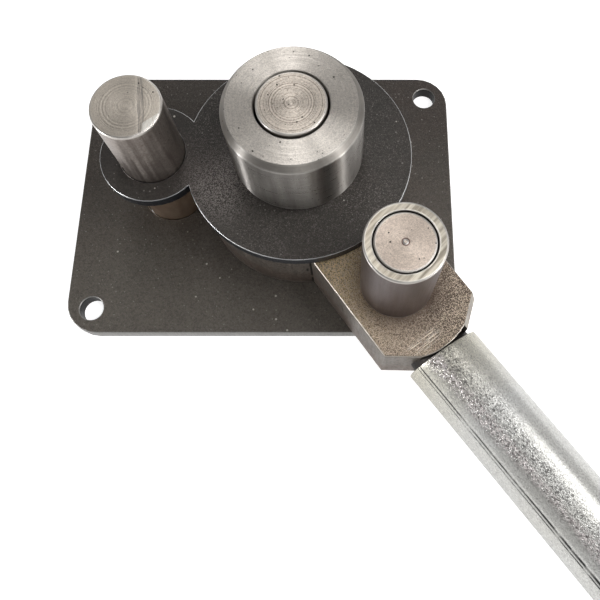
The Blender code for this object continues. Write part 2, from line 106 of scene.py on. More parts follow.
# %% Camera
PICTURE_WIDTH = 600
FOCAL_LENGTH_PIXELS = 686.1
AXIS_PIXEL = (349.2, 255.9)
CAMERA_PLACE = Vector((44.7, -150.5, 348.8)) * MM
CAMERA_TILT = math.radians(18.98)
SENSOR_WIDTH = 36.0

camera_data = bpy.data.cameras.new("camera")
camera_data.sensor_width = SENSOR_WIDTH
camera_data.lens = FOCAL_LENGTH_PIXELS / PICTURE_WIDTH * SENSOR_WIDTH
camera_data.shift_x = 0.5 - AXIS_PIXEL[0] / PICTURE_WIDTH
camera_data.shift_y = AXIS_PIXEL[1] / PICTURE_WIDTH - 0.5
camera_data.clip_start = 10 * MM
camera_data.dof.use_dof = False
camera = bpy.data.objects.new("camera", camera_data)
camera.location = CAMERA_PLACE
camera.rotation_euler = (CAMERA_TILT, 0, 0)
bpy.context.scene.collection.objects.link(camera)
bpy.context.scene.camera = camera
print(f"lens {camera_data.lens:.1f} mm, shift {camera_data.shift_x:.3f}, {camera_data.shift_y:.3f}")

# %% [markdown]
# Node trees are long to write one socket at a time. These few helpers add a node, type in its
# values or link them, and do sums, and they work in shader trees and geometry trees alike.


# %% Helpers for node trees
def add(tree, kind, values=None, **settings):
    """Add a node. Each value is typed in, or linked if it is another node's output."""
    made = tree.nodes.new(kind)
    for name, value in settings.items():
        setattr(made, name, value)
    for key, value in (values or {}).items():
        if isinstance(value, bpy.types.NodeSocket):
            tree.links.new(value, made.inputs[key])
        else:
            made.inputs[key].default_value = value
    return made


def tree_of(values):
    """The node tree that the first socket among these values belongs to."""
    return next(value.id_data for value in values if isinstance(value, bpy.types.NodeSocket))


def calc(operation, *values):
    return add(tree_of(values), "ShaderNodeMath", dict(enumerate(values)), operation=operation).outputs[0]


def plus(first, *others):
    for other in others:
        first = calc("ADD", first, other)
    return first


def minus(first, second):
    return calc("SUBTRACT", first, second)


def times(first, *others):
    for other in others:
        first = calc("MULTIPLY", first, other)
    return first


scratch_tree = bpy.data.node_groups.new("scratch", "ShaderNodeTree")
print("a sum is one node:", plus(add(scratch_tree, "ShaderNodeValue").outputs[0], 1.0).node.name)

# %% [markdown]
# Patterns need a little more: the parts of a place, a value stretched to another range, and a
# band between two limits.


# %% Helpers for places and ranges
def vector_calc(operation, *values):
    made = add(tree_of(values), "ShaderNodeVectorMath", dict(enumerate(values)), operation=operation)
    return made.outputs["Value" if operation == "LENGTH" else "Vector"]


def parts_of(vector):
    """The x, y and z of a vector."""
    return add(vector.id_data, "ShaderNodeSeparateXYZ", {0: vector}).outputs


def vector_of(x, y, z=0.0):
    return add(tree_of((x, y, z)), "ShaderNodeCombineXYZ", {0: x, 1: y, 2: z}).outputs[0]


def remap(value, low, high, new_low=0.0, new_high=1.0):
    """Stretch a value from one range to another, and clamp it there."""
    values = {0: value, 1: low, 2: high, 3: new_low, 4: new_high}
    return add(tree_of(values.values()), "ShaderNodeMapRange", values).outputs[0]


def within(value, low, high, soft):
    """1 where a value lies between two limits and 0 elsewhere, with soft ends inside them."""
    return times(remap(value, low, low + soft), remap(value, high - soft, high, 1.0, 0.0))


def distance(value, place):
    return calc("ABSOLUTE", minus(value, place))


within(add(scratch_tree, "ShaderNodeValue").outputs[0], 1 * MM, 2 * MM, TOUCH)
print("the sum and a band make", len(scratch_tree.nodes), "nodes")
bpy.data.node_groups.remove(scratch_tree)

# %% [markdown]
# Colours are mixed the way paint is laid on: a base first, then thin coats over it. A coat's
# share says where it covers, and a share that changes over the surface gives a pattern.


# %% Helpers for colour and noise
def colour(red, green, blue):
    return (red, green, blue, 1.0)


def blend_colours(share, first, second):
    values = {0: share, 6: first, 7: second}
    return add(tree_of(values.values()), "ShaderNodeMix", values, data_type="RGBA").outputs[2]


def paint(base, *coats):
    """Lay coats over a base, one after another. A coat is its share and its colour."""
    for share, over in coats:
        base = blend_colours(share, base, over)
    return base


def noise_value(vector, scale, detail=2.0, roughness=0.5, distortion=0.0):
    values = {"Vector": vector, "Scale": scale, "Detail": detail, "Roughness": roughness,
              "Distortion": distortion}
    return add(vector.id_data, "ShaderNodeTexNoise", values).outputs[0]


def squeezed_noise(vector, squeeze, scale, detail, roughness=0.5):
    """Noise that is drawn out along the axes where squeeze is small."""
    return noise_value(vector_calc("MULTIPLY", vector, squeeze), scale, detail, roughness)


def line_noise(run, detail):
    """Noise along a line, which makes rings when it is fed a radius."""
    values = {"W": run, "Scale": 1.0, "Detail": detail}
    return add(run.id_data, "ShaderNodeTexNoise", values, noise_dimensions="1D").outputs[0]


print("a colour has red, green, blue and how solid it is:", colour(0.5, 0.4, 0.3))

# %% [markdown]
# Some marks are on more than one metal, so each is a shader node group that is built once and
# placed with its own values: cloudy patches, a sandy grain, rings from a lathe tool, long
# scratches, bright specks, and bare metal where an edge has worn.


# %% Clouds and grain
def shader_group(name, inputs, outputs):
    """An empty group, its input node and its output node."""
    tree = bpy.data.node_groups.new(name, "ShaderNodeTree")
    for label, value in inputs.items():
        kind = "NodeSocketVector" if value is None else "NodeSocketFloat"
        socket = tree.interface.new_socket(label, in_out="INPUT", socket_type=kind)
        if value is not None:
            socket.default_value = value
    for label in outputs:
        tree.interface.new_socket(label, in_out="OUTPUT", socket_type="NodeSocketFloat")
    return tree, tree.nodes.new("NodeGroupInput").outputs, tree.nodes.new("NodeGroupOutput").inputs


def make_clouds():
    """Soft patches from 0 to 1, harder as Contrast rises."""
    tree, take, give = shader_group("clouds", {"Vector": None, "Scale": 20.0, "Contrast": 0.5}, ["Value"])
    patches = noise_value(take["Vector"], take["Scale"], 5.0, 0.62, 0.4)
    half_width = times(minus(1.0, take["Contrast"]), 0.3)
    low = minus(0.5, half_width)
    high = plus(0.5, calc("MAXIMUM", half_width, 0.01))
    tree.links.new(remap(patches, low, high), give["Value"])
    return tree


def make_grain():
    """A sandy surface: Value is its light and dark, Height its bumps."""
    tree, take, give = shader_group("grain", {"Vector": None, "Size": 1 * MM}, ["Value", "Height"])
    scale = calc("DIVIDE", 1.0, take["Size"])
    coarse = noise_value(take["Vector"], scale, 4.0, 0.7)
    cells = add(tree, "ShaderNodeTexVoronoi", {"Vector": take["Vector"], "Scale": scale}, feature="F1")
    pick = add(tree, "ShaderNodeSeparateColor", {0: cells.outputs["Color"]}).outputs[0]
    tree.links.new(plus(times(remap(coarse, 0.3, 0.7), 0.6), times(pick, 0.4)), give["Value"])
    tree.links.new(plus(coarse, times(cells.outputs["Distance"], 0.5)), give["Height"])
    return tree


GROUPS = {"clouds": make_clouds(), "grain": make_grain()}
print("shader groups so far:", sorted(GROUPS))

# %% [markdown]
# Tools leave lines. A lathe tool leaves rings round the piece's axis, and a bar that is dragged
# over a plate leaves long straight scratches.


# %% Rings and scratches
def make_rings():
    """Concentric tool marks round the local Z axis, of random strength."""
    inputs = {"Vector": None, "Pitch": 1 * MM, "Wobble": 0.1 * MM}
    tree, take, give = shader_group("tool rings", inputs, ["Value", "Radius"])
    x, y = parts_of(take["Vector"])[:2]
    radius = vector_calc("LENGTH", vector_of(x, y))
    unsteady = times(noise_value(take["Vector"], 60.0), take["Wobble"])
    run = calc("DIVIDE", plus(radius, unsteady), take["Pitch"])
    tree.links.new(line_noise(run, 3.0), give["Value"])
    tree.links.new(radius, give["Radius"])
    return tree


def make_scratches():
    """Fine scratches along the local X axis. Amount is the share of the surface with any."""
    inputs = {"Vector": None, "Length": 20 * MM, "Spacing": 0.5 * MM, "Amount": 0.1}
    tree, take, give = shader_group("scratches", inputs, ["Mask"])
    along = calc("DIVIDE", 1.0, take["Length"])
    across = calc("DIVIDE", 1.0, take["Spacing"])
    lines = squeezed_noise(take["Vector"], vector_of(along, across, across), 1.0, 3.0, 0.6)
    least = remap(take["Amount"], 0.0, 1.0, 0.78, 0.42)
    tree.links.new(remap(lines, least, plus(least, 0.07)), give["Mask"])
    return tree


GROUPS.update({"tool rings": make_rings(), "scratches": make_scratches()})
print("shader groups so far:", sorted(GROUPS))

# %% [markdown]
# Small bright or dark spots come from chips and pits, and bare metal shows where an edge is
# rubbed. The edge value was stored on the mesh when the piece was built.


# %% Specks and worn edges
def make_specks():
    """Small round spots, one in some of the cells of a net of cells of the given Size."""
    inputs = {"Vector": None, "Size": 4 * MM, "Share": 0.1, "Spot": 0.12}
    tree, take, give = shader_group("specks", inputs, ["Mask"])
    scale = calc("DIVIDE", 1.0, take["Size"])
    cells = add(tree, "ShaderNodeTexVoronoi", {"Vector": take["Vector"], "Scale": scale}, feature="F1")
    pick = add(tree, "ShaderNodeSeparateColor", {0: cells.outputs["Color"]}).outputs
    chosen = calc("LESS_THAN", pick[0], take["Share"])
    size = times(take["Spot"], remap(pick[1], 0.0, 1.0, 0.4, 1.3))
    spot = remap(cells.outputs["Distance"], times(size, 0.6), size, 1.0, 0.0)
    tree.links.new(times(spot, chosen), give["Mask"])
    return tree


def make_edge_wear():
    """Bare metal along edges. Edge is 1 on an edge and 0 away from it."""
    inputs = {"Vector": None, "Edge": 0.0, "Patch Size": 6 * MM, "Wear": 0.5}
    tree, take, give = shader_group("edge wear", inputs, ["Mask"])
    scale = calc("DIVIDE", 1.0, take["Patch Size"])
    patches = noise_value(take["Vector"], scale, 6.0, 0.7)
    start = remap(take["Wear"], 0.0, 1.0, 1.3, 0.35)
    reach = plus(take["Edge"], times(patches, 0.6))
    tree.links.new(remap(reach, start, plus(start, 0.25)), give["Mask"])
    return tree


GROUPS.update({"specks": make_specks(), "edge wear": make_edge_wear()})


def effect(name, **values):
    """Place a shared group in the tree of its Vector, and return the group's outputs."""
    return add(values["Vector"].id_data, "ShaderNodeGroup", values, node_tree=GROUPS[name]).outputs


print("shader groups:", {name: len(tree.nodes) for name, tree in sorted(GROUPS.items())})

# %% [markdown]
# A material starts from Object coordinates, in metres. A Mapping node of the Texture kind moves
# them to the piece, so that rings run round its own axis and scratches follow its own length.


# %% Helpers for materials
QUARTER_TURN = 0.25


def new_material(name, roughness, metallic, anisotropic=0.0, specular=0.5):
    material = bpy.data.materials.new(name)
    material.use_nodes = True
    tree = material.node_tree
    shader = tree.nodes["Principled BSDF"]
    shader.inputs["Roughness"].default_value = roughness
    shader.inputs["Metallic"].default_value = metallic
    shader.inputs["Specular IOR Level"].default_value = specular
    if anisotropic:
        shader.inputs["Anisotropic"].default_value = anisotropic
        shader.inputs["Anisotropic Rotation"].default_value = QUARTER_TURN
        round_axis = add(tree, "ShaderNodeTangent", direction_type="RADIAL", axis="Z")
        tree.links.new(round_axis.outputs[0], shader.inputs["Tangent"])
    return material, tree, shader


def local_place(tree, centre=(0, 0, 0), turn=(0, 0, 0)):
    """Object coordinates measured from a centre, along axes turned by the given angles."""
    spot = add(tree, "ShaderNodeTexCoord").outputs["Object"]
    values = {"Vector": spot, "Location": tuple(centre), "Rotation": tuple(turn)}
    return add(tree, "ShaderNodeMapping", values, vector_type="TEXTURE").outputs[0]


def edge_wear(place, amount):
    """A mask of bare metal along the edges, which each piece's mesh has stored as its edge value."""
    edge = add(place.id_data, "ShaderNodeAttribute", attribute_name="edge").outputs["Fac"]
    return effect("edge wear", Vector=place, Edge=edge, Wear=amount)["Mask"]


def connect(tree, shader, base, roughness, height, depth):
    """Link a material's colour and roughness, and its bumps, so deep in metres, through a Bump node."""
    tree.links.new(base, shader.inputs["Base Color"])
    tree.links.new(roughness, shader.inputs["Roughness"])
    bump = add(tree, "ShaderNodeBump", {"Height": height, "Strength": 1.0, "Distance": depth})
    tree.links.new(bump.outputs[0], shader.inputs["Normal"])


def tell(*materials):
    """Print each new material's name and how many nodes it has."""
    print("finishes:", {material.name: len(material.node_tree.nodes) for material in materials})


print("a highlight across the tool rings is turned by", QUARTER_TURN, "of a full turn")

# %% [markdown]
# Hot-rolled plate comes from the mill with a thin dark oxide on it. It is nearly black with
# brown and grey clouds, faintly sandy, with a few bright specks where the oxide has chipped, and
# it rubs through to bare steel on the edges. Painted light makes it paler towards the front. The
# guide plate is newer and has a coarser sparkle round the die, and a spot of painted sheen near it.


# %% Dark plate finishes
PAINTED_SHEEN_SPOT = Vector((-16.0, -14.0, 54.2)) * MM
PAINTED_SHEEN_REACH = 24 * MM
PAINTED_LIGHT_FRONT_AND_BACK = (50 * MM, -60 * MM)


def sparkle_round_die(glitter, fine, place, reach):
    """Keep the glitter within a distance of the axle, and add a spot of painted sheen."""
    tree = place.id_data
    run = effect("tool rings", Vector=local_place(tree, AXLE))["Radius"]
    patchy = effect("clouds", Vector=place, Scale=16.0, Contrast=0.4)["Value"]
    share = remap(run, reach * 0.8, reach, 1.0, 0.25)
    # A spot of painted sheen: bright grains round one place on the guide plate, fading out.
    from_spot = vector_calc("LENGTH", local_place(tree, PAINTED_SHEEN_SPOT))
    painted_sheen = remap(from_spot, PAINTED_SHEEN_REACH * 0.3, PAINTED_SHEEN_REACH, 0.85, 0.0)
    painted_sheen = times(painted_sheen, remap(fine, 0.47, 0.58))
    return calc("MAXIMUM", times(glitter, times(share, plus(patchy, 0.2))), painted_sheen)


def make_plate_scale(name, grey, pale, red, sparkle, specks_share, painted_front_light, sparkle_reach=None):
    """Mill scale, with painted light towards the front. sparkle_reach keeps its bright grains near the axle.
    """
    material, tree, shader = new_material(name, 0.5, 0.35)
    place = local_place(tree)
    clouds = effect("clouds", Vector=place, Scale=13.0, Contrast=0.0)["Value"]
    reddish = effect("clouds", Vector=place, Scale=24.0, Contrast=0.1)["Value"]
    rolled = effect("scratches", Vector=place, Length=50 * MM, Spacing=1.2 * MM, Amount=0.7)["Mask"]
    grain = effect("grain", Vector=place, Size=1 * MM)
    fine = effect("grain", Vector=place, Size=0.4 * MM)
    specks = effect("specks", Vector=place, Size=2.4 * MM, Share=specks_share, Spot=0.15)["Mask"]
    chips = effect("specks", Vector=place, Size=6 * MM, Share=0.3, Spot=0.10)["Mask"]
    worn = edge_wear(place, 0.42)
    glitter = remap(fine["Value"], 0.55, 0.85, 0.0, sparkle)
    if sparkle_reach:
        glitter = sparkle_round_die(glitter, fine["Value"], place, sparkle_reach)
    # The coat that grows towards the front is painted light, not a change in the scale.
    base = paint(blend_colours(clouds, grey, pale),
                 (times(reddish, 0.6), red),
                 (times(rolled, 0.12), colour(0.11, 0.10, 0.09)),
                 (remap(parts_of(place)[1], *PAINTED_LIGHT_FRONT_AND_BACK, 0.0, painted_front_light), colour(0.172, 0.155, 0.130)),
                 (remap(grain["Value"], 0.2, 0.7, 0.45, 0.0), colour(0.012, 0.010, 0.009)),
                 (glitter, colour(0.30, 0.265, 0.25)),
                 (times(specks, 0.55), colour(0.34, 0.32, 0.29)),
                 (times(chips, 0.8), colour(0.62, 0.58, 0.52)),
                 (times(worn, 0.7), colour(0.25, 0.245, 0.24)))
    rough = minus(remap(grain["Value"], 0.2, 0.8, 0.42, 0.66), times(worn, 0.1))
    height = plus(grain["Height"], times(fine["Height"], 0.6))
    connect(tree, shader, base, rough, height, 0.16 * MM)
    return material


plate_scale = make_plate_scale("plate_scale", colour(0.038, 0.037, 0.030), colour(0.062, 0.053, 0.043),
                               colour(0.082, 0.056, 0.047), 0.35, 0.75, painted_front_light=0.75)
guide_scale = make_plate_scale("guide_scale", colour(0.029, 0.030, 0.026), colour(0.043, 0.041, 0.036),
                               colour(0.072, 0.054, 0.051), 0.8, 0.7, painted_front_light=0.25,
                               sparkle_reach=62 * MM)
tell(plate_scale, guide_scale)

# %% [markdown]
# A beam cut the plates out. It leaves upright lines and a thin skin on the cut, dark on the guide
# plate and pale on the base plate, and a bright line along the rim where the burr was filed off.


# %% Cut edges
def make_cut_rim():
    """The thin bright line along the filed rim."""
    material, tree, shader = new_material("cut_rim", 0.3, 0.75)
    place = local_place(tree)
    grain = effect("grain", Vector=place, Size=0.8 * MM)
    dull = effect("clouds", Vector=place, Scale=45.0, Contrast=0.4)["Value"]
    base = blend_colours(dull, colour(0.95, 0.95, 0.94), colour(0.22, 0.22, 0.23))
    connect(tree, shader, base, remap(grain["Value"], 0.0, 1.0, 0.25, 0.45), grain["Height"], 0.05 * MM)
    return material


def make_cut_wall(name, dark, light):
    """The cut edge below the rim."""
    material, tree, shader = new_material(name, 0.4, 0.6)
    place = local_place(tree)
    lines = squeezed_noise(place, (1.0, 1.0, 0.08), 1400.0, 3.0, 0.6)
    grain = effect("grain", Vector=place, Size=0.7 * MM)
    base = paint(blend_colours(remap(lines, 0.35, 0.65), dark, light),
                 (times(grain["Value"], 0.3), dark),
                 (times(edge_wear(place, 0.42), 0.6), light))
    connect(tree, shader, base, remap(lines, 0.3, 0.7, 0.3, 0.52), lines, 0.12 * MM)
    return material


cut_rim = make_cut_rim()
plate_wall = make_cut_wall("plate_wall", colour(0.17, 0.165, 0.155), colour(0.36, 0.35, 0.335))
guide_wall = make_cut_wall("guide_wall", colour(0.008, 0.009, 0.012), colour(0.03, 0.031, 0.037))
# The holes' walls are painted nearly black: painted shade inside the holes.
painted_shade_hole_wall = make_cut_wall("painted_shade_hole_wall", colour(0.005, 0.005, 0.005), colour(0.022, 0.021, 0.02))
tell(cut_rim, plate_wall, guide_wall, painted_shade_hole_wall)

# %% [markdown]
# Turned steel is bright, and its faces are full of fine rings that the lathe tool left. The
# rings spread a highlight across themselves, so a turned face shows a bow tie of light. The
# shader's anisotropy does that, with a tangent that runs round the piece, and the wider rings
# can be told apart are colour and bumps. The post's face has been sawn too, and chipped.

# %% Saw marks on a turned face
SAW_BAND = (4.9 * MM, 7.8 * MM)
BLADE_TURN = math.radians(6.5)
CHIP_START = (7.9 * MM, -8.2 * MM)
CHIP_SIDE = 0.74
SOFT_EDGE = 0.2 * MM


def paint_saw_marks(base, place, centre):
    """The strip of dark streaks that a saw blade left, and the bright chip beside it."""
    blade = local_place(base.id_data, centre, (0, 0, BLADE_TURN))
    streaks = squeezed_noise(blade, (1.0, 0.04, 0.04), 2600.0, 2.0)
    strip = within(parts_of(blade)[0], *SAW_BAND, SOFT_EDGE)
    x, y = parts_of(place)[:2]
    right_of = minus(x, CHIP_START[0])
    below = minus(times(right_of, CHIP_SIDE), minus(y, CHIP_START[1]))
    chip = remap(calc("MINIMUM", right_of, below), 0.0, SOFT_EDGE)
    return paint(base,
                 (times(strip, remap(streaks, 0.4, 0.6, 0.6, 0.0)), colour(0.2, 0.185, 0.19)),
                 (times(chip, remap(streaks, 0.3, 0.55, 0.2, 1.0)), colour(1.0, 0.97, 0.90)))


print(f"saw band {(SAW_BAND[1] - SAW_BAND[0]) / MM:.1f} mm wide")

# %% [markdown]
# One recipe serves all the turned faces. They differ in how bright they are, how coarse their
# rings, and how many pits they have.

# %% The recipe for turned faces
TURNED_PIT = 2.2 * MM


def make_turned(name, centre, pale, dark, gloss, ring_pitch, ring_depth, anisotropic, pits_share,
                ring_share=0.3, grain_share=0.3, darkening=0.25, grain_size=0.6 * MM, mark=None, cool_share=0.0,
                edge_shine=0.4, sawn=False):
    """A turned face. mark is the radius of a dark line round its middle."""
    material, tree, shader = new_material(name, gloss, 1.0, anisotropic)
    place = local_place(tree, centre)
    rings = effect("tool rings", Vector=place, Pitch=ring_pitch, Wobble=ring_pitch * 1.2)
    hair = effect("tool rings", Vector=place, Pitch=ring_pitch * 0.4, Wobble=ring_pitch * 0.6)["Value"]
    grain = effect("grain", Vector=place, Size=grain_size)
    clouds = effect("clouds", Vector=place, Scale=55.0, Contrast=0.0)["Value"]
    cool = effect("clouds", Vector=place, Scale=35.0, Contrast=0.1)["Value"]
    pits = effect("specks", Vector=place, Size=TURNED_PIT, Share=pits_share, Spot=0.17)["Mask"]
    darkness = plus(remap(rings["Value"], 0.38, 0.6, ring_share, 0.0),
                    remap(hair, 0.35, 0.65, ring_share * 0.7, 0.0),
                    remap(grain["Value"], 0.25, 0.75, grain_share, 0.0))
    base = paint(blend_colours(times(cool, cool_share), pale, colour(0.66, 0.68, 0.74)),
                 (darkness, dark),
                 (times(clouds, darkening), dark),
                 (times(edge_wear(place, 0.45), edge_shine), colour(0.86, 0.84, 0.8)),
                 (pits, colour(0.02, 0.017, 0.015)))
    if sawn:
        base = paint_saw_marks(base, place, centre)
    if mark:
        off_mark = distance(rings["Radius"], mark)
        base = paint(base, (remap(off_mark, mark * 0.2, mark * 0.6, 0.95, 0.0), colour(0.10, 0.025, 0.015)))
    rough = plus(remap(rings["Value"], 0.3, 0.7, gloss - 0.05, gloss + 0.06), times(pits, 0.3))
    height = minus(plus(rings["Value"], times(hair, 0.5), times(grain["Height"], 0.5)), times(pits, 1.5))
    connect(tree, shader, base, rough, height, ring_depth)
    return material


print("small pits in turned steel, mm:", TURNED_PIT / MM)

# %% [markdown]
# The die is the brightest and the most even. The axle's end has coarse rings, the follower pin's
# end has a dark line round the pip in its middle, and the post's end is the one that was sawn.

# %% Turned faces
PIP_RADIUS = 0.8 * MM
die_bright = make_turned("die_bright", AXLE, colour(0.75, 0.697, 0.625), colour(0.25, 0.23, 0.215), 0.36,
                         0.9 * MM, 0.03 * MM, 0.97, 0.35, ring_share=0.14, grain_share=0.5,
                         grain_size=0.5 * MM, cool_share=0.08, edge_shine=0.1)
axle_face = make_turned("axle_face", AXLE, colour(0.87, 0.785, 0.69), colour(0.15, 0.125, 0.105), 0.36,
                        0.6 * MM, 0.04 * MM, 0.6, 0.6, ring_share=0.42, grain_share=0.35)
pin_face = make_turned("pin_face", FOLLOWER, colour(0.98, 0.85, 0.735), colour(0.29, 0.22, 0.18), 0.42,
                       1.2 * MM, 0.04 * MM, 0.3, 0.4, ring_share=0.10, grain_share=0.45, darkening=0.3,
                       grain_size=0.4 * MM, mark=PIP_RADIUS * 1.5)
post_face = make_turned("post_face", POST, colour(0.99, 0.90, 0.78), colour(0.30, 0.255, 0.22), 0.38,
                        0.7 * MM, 0.03 * MM, 0.35, 0.25, ring_share=0.18, grain_share=0.22, darkening=0.15,
                        grain_size=0.5 * MM, sawn=True)
tell(die_bright, axle_face, pin_face, post_face)

# %% [markdown]
# On the die's round side the rings lie level, and draw every light out into an upright band. Its
# chamfer was cut more slowly, which left it duller and paler.

# %% The die's side
DIE_CHAMFER = 3.3 * MM
CHAMFER_BLEND = 0.4 * MM


def make_turned_side(name, centre, pale, dark, gloss, chamfer_from):
    """The round side of a turned piece, with a chamfer above the height chamfer_from."""
    material, tree, shader = new_material(name, gloss, 1.0, 1.0)
    place = local_place(tree, centre)
    lines = squeezed_noise(place, (0.03, 0.03, 1.0), 1500.0, 3.0, 0.6)
    bands = squeezed_noise(place, (1.0, 1.0, 0.10), 130.0, 4.0, 0.65)
    grain = effect("grain", Vector=place, Size=0.9 * MM)
    pits = effect("specks", Vector=place, Size=2.4 * MM, Share=0.35, Spot=0.16)["Mask"]
    chamfer = remap(parts_of(place)[2], chamfer_from, chamfer_from + CHAMFER_BLEND)
    base = paint(blend_colours(remap(bands, 0.35, 0.65), dark, pale),
                 (remap(lines, 0.3, 0.7, 0.0, 0.3), dark),
                 (remap(grain["Value"], 0.3, 0.7, 0.35, 0.0), dark),
                 (times(edge_wear(place, 0.5), 0.15), colour(0.86, 0.84, 0.8)),
                 (pits, colour(0.03, 0.025, 0.022)),
                 (times(chamfer, 0.4), colour(0.60, 0.56, 0.51)))
    rough = plus(remap(lines, 0.3, 0.7, gloss - 0.04, gloss + 0.04), times(chamfer, 0.27))
    connect(tree, shader, base, rough, plus(lines, times(grain["Height"], 0.3)), 0.02 * MM)
    return material


die_side = make_turned_side("die_side", AXLE, colour(0.43, 0.405, 0.375), colour(0.22, 0.205, 0.19), 0.30,
                            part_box("die_ring")[1].z - DIE_CHAMFER)
tell(die_side)

# %% [markdown]
# The round sides of the pins and of the follower's sleeve weren't machined like the ends. They
# keep a drawn, slightly brown skin: satin, darker than the ends, with faint streaks along their
# length and a bright line where the end's edge has been broken. Under the guide plate the post
# was never wiped, and is rusty; that rust is painted pale, as painted light in the plate's shade.


# %% Drawn round steel
def make_drawn(name, centre, pale, dark, gloss, streaks, rust_and_painted_light_below=None):
    material, tree, shader = new_material(name, gloss, 0.92)
    place = local_place(tree, centre)
    lines = squeezed_noise(place, (1.0, 1.0, 0.05), 420.0, 4.0, 0.6)
    clouds = effect("clouds", Vector=place, Scale=45.0, Contrast=0.15)["Value"]
    grain = effect("grain", Vector=place, Size=0.8 * MM)
    pits = effect("specks", Vector=place, Size=2 * MM, Share=0.55, Spot=0.16)["Mask"]
    base = paint(blend_colours(clouds, dark, pale),
                 (times(remap(lines, 0.42, 0.66), streaks), pale),
                 (remap(lines, 0.32, 0.48, streaks, 0.0), dark),
                 (remap(grain["Value"], 0.3, 0.7, 0.45, 0.0), dark),
                 (times(pits, 0.6), colour(0.05, 0.035, 0.03)),
                 (times(edge_wear(place, 0.55), 0.6), colour(0.82, 0.79, 0.74)))
    # Below the guide plate: real rust, painted paler than the side above as painted light in the plate's
    # shade.
    if rust_and_painted_light_below:
        rust_and_light_share = remap(parts_of(place)[2], rust_and_painted_light_below - 2 * MM, rust_and_painted_light_below, 1.0, 0.0)
        rust_and_light_colour = blend_colours(clouds, colour(0.36, 0.20, 0.13), colour(0.86, 0.72, 0.55))
        base = paint(base, (times(rust_and_light_share, 0.85), rust_and_light_colour))
    rough = remap(lines, 0.3, 0.7, gloss - 0.06, gloss + 0.08)
    connect(tree, shader, base, rough, plus(lines, times(grain["Height"], 0.4)), 0.06 * MM)
    return material


post_side = make_drawn("post_side", POST, colour(0.56, 0.505, 0.46), colour(0.24, 0.20, 0.18), 0.34, 0.6,
                       rust_and_painted_light_below=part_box("guide_plate")[0].z)
axle_side = make_drawn("axle_side", AXLE, colour(0.42, 0.38, 0.35), colour(0.25, 0.22, 0.2), 0.4, 0.4)
sleeve_side = make_drawn("sleeve_side", FOLLOWER, colour(0.17, 0.136, 0.128), colour(0.095, 0.074, 0.071),
                         0.40, 0.3)
tell(post_side, axle_side, sleeve_side)

# %% [markdown]
# The sleeve was sawn off a tube, and its end shows slanting marks of the saw blade, light and
# dark by turns.

# %% Sawn end
SAW_ANGLE = math.radians(48)


def make_sawn_end():
    material, tree, shader = new_material("sawn_end", 0.34, 1.0)
    place = local_place(tree, FOLLOWER, (0, 0, SAW_ANGLE))
    lines = squeezed_noise(place, (0.05, 1.0, 0.05), 620.0, 3.0, 0.55)
    grain = effect("grain", Vector=place, Size=0.6 * MM)
    base = paint(colour(0.38, 0.325, 0.25),
                 (remap(lines, 0.35, 0.65), colour(0.88, 0.81, 0.69)),
                 (times(grain["Value"], 0.25), colour(0.55, 0.5, 0.42)),
                 (times(edge_wear(place, 0.5), 0.5), colour(0.9, 0.88, 0.82)))
    connect(tree, shader, base, remap(lines, 0.3, 0.7, 0.28, 0.42), lines, 0.09 * MM)
    return material


sawn_end = make_sawn_end()
tell(sawn_end)

# %% [markdown]
# The swing arm was cut from thick plate. On top it keeps a brown scale that has been rubbed
# sandy, golden near the hub and darker on the right, darker in a ring round the pin, and
# scratched across near its end. Its material is made further on, when the arm has been measured.


# %% The arm's top
ARM_GOLD = (50 * MM, 100 * MM)
ARM_SHADE = (-12 * MM, 6 * MM)
DARKER_ROUND_PIN = (17 * MM, 27 * MM)


def make_arm_top(scratch_start, scratch_end, half_width):
    material, tree, shader = new_material("arm_top", 0.45, 0.75)
    place = local_place(tree, AXLE, (0, 0, ARM_ANGLE))
    across = local_place(tree, AXLE, (0, 0, ARM_ANGLE + math.pi / 2))
    from_pin = vector_calc("LENGTH", local_place(tree, FOLLOWER + Vector((0, 0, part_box("swing_arm")[1].z))))
    clouds = effect("clouds", Vector=place, Scale=38.0, Contrast=0.1)["Value"]
    sand = effect("grain", Vector=place, Size=0.45 * MM)
    fine = effect("grain", Vector=place, Size=0.4 * MM)
    brushed = effect("scratches", Vector=across, Length=12 * MM, Spacing=0.4 * MM, Amount=0.35)["Mask"]
    deep = effect("scratches", Vector=across, Length=10 * MM, Spacing=0.5 * MM, Amount=0.72)["Mask"]
    x, y = parts_of(place)[:2]
    blur = times(minus(noise_value(place, 120.0), 0.5), 8 * MM)
    off_centre = calc("ABSOLUTE", plus(y, half_width * 0.28, blur))
    patch = times(within(plus(x, blur), scratch_start, scratch_end, 2 * MM),
                  remap(off_centre, half_width * 0.26, half_width * 0.4, 1.0, 0.0))
    scratched = times(deep, patch)
    # Darker in a ring round the pin, fading out from its foot.
    darkening = times(remap(from_pin, *DARKER_ROUND_PIN, 0.8, 0.0), plus(clouds, 0.4))
    base = paint(blend_colours(clouds, colour(0.34, 0.262, 0.20), colour(0.48, 0.387, 0.30)),
                 (remap(x, *ARM_GOLD, 0.9, 0.0), colour(1.0, 0.77, 0.44)),
                 (remap(y, *ARM_SHADE, 0.0, 0.95), colour(0.10, 0.077, 0.059)),
                 (remap(sand["Value"], 0.47, 0.60, 0.0, 0.75), colour(0.08, 0.055, 0.042)),
                 (remap(fine["Value"], 0.52, 0.62, 0.0, 0.85), colour(0.78, 0.65, 0.51)),
                 (times(brushed, 0.25), colour(0.60, 0.50, 0.39)),
                 (darkening, colour(0.10, 0.07, 0.055)),
                 (scratched, colour(1.0, 0.92, 0.80)),
                 (times(edge_wear(place, 0.27), 0.85), colour(0.62, 0.57, 0.5)))
    rough = remap(sand["Value"], 0.2, 0.8, 0.36, 0.6)
    height = minus(plus(sand["Height"], times(fine["Height"], 0.5)), times(scratched, 0.8))
    connect(tree, shader, base, rough, height, 0.2 * MM)
    return material


print(f"the gold fades out {ARM_GOLD[1] / MM:.0f} mm from the axle")
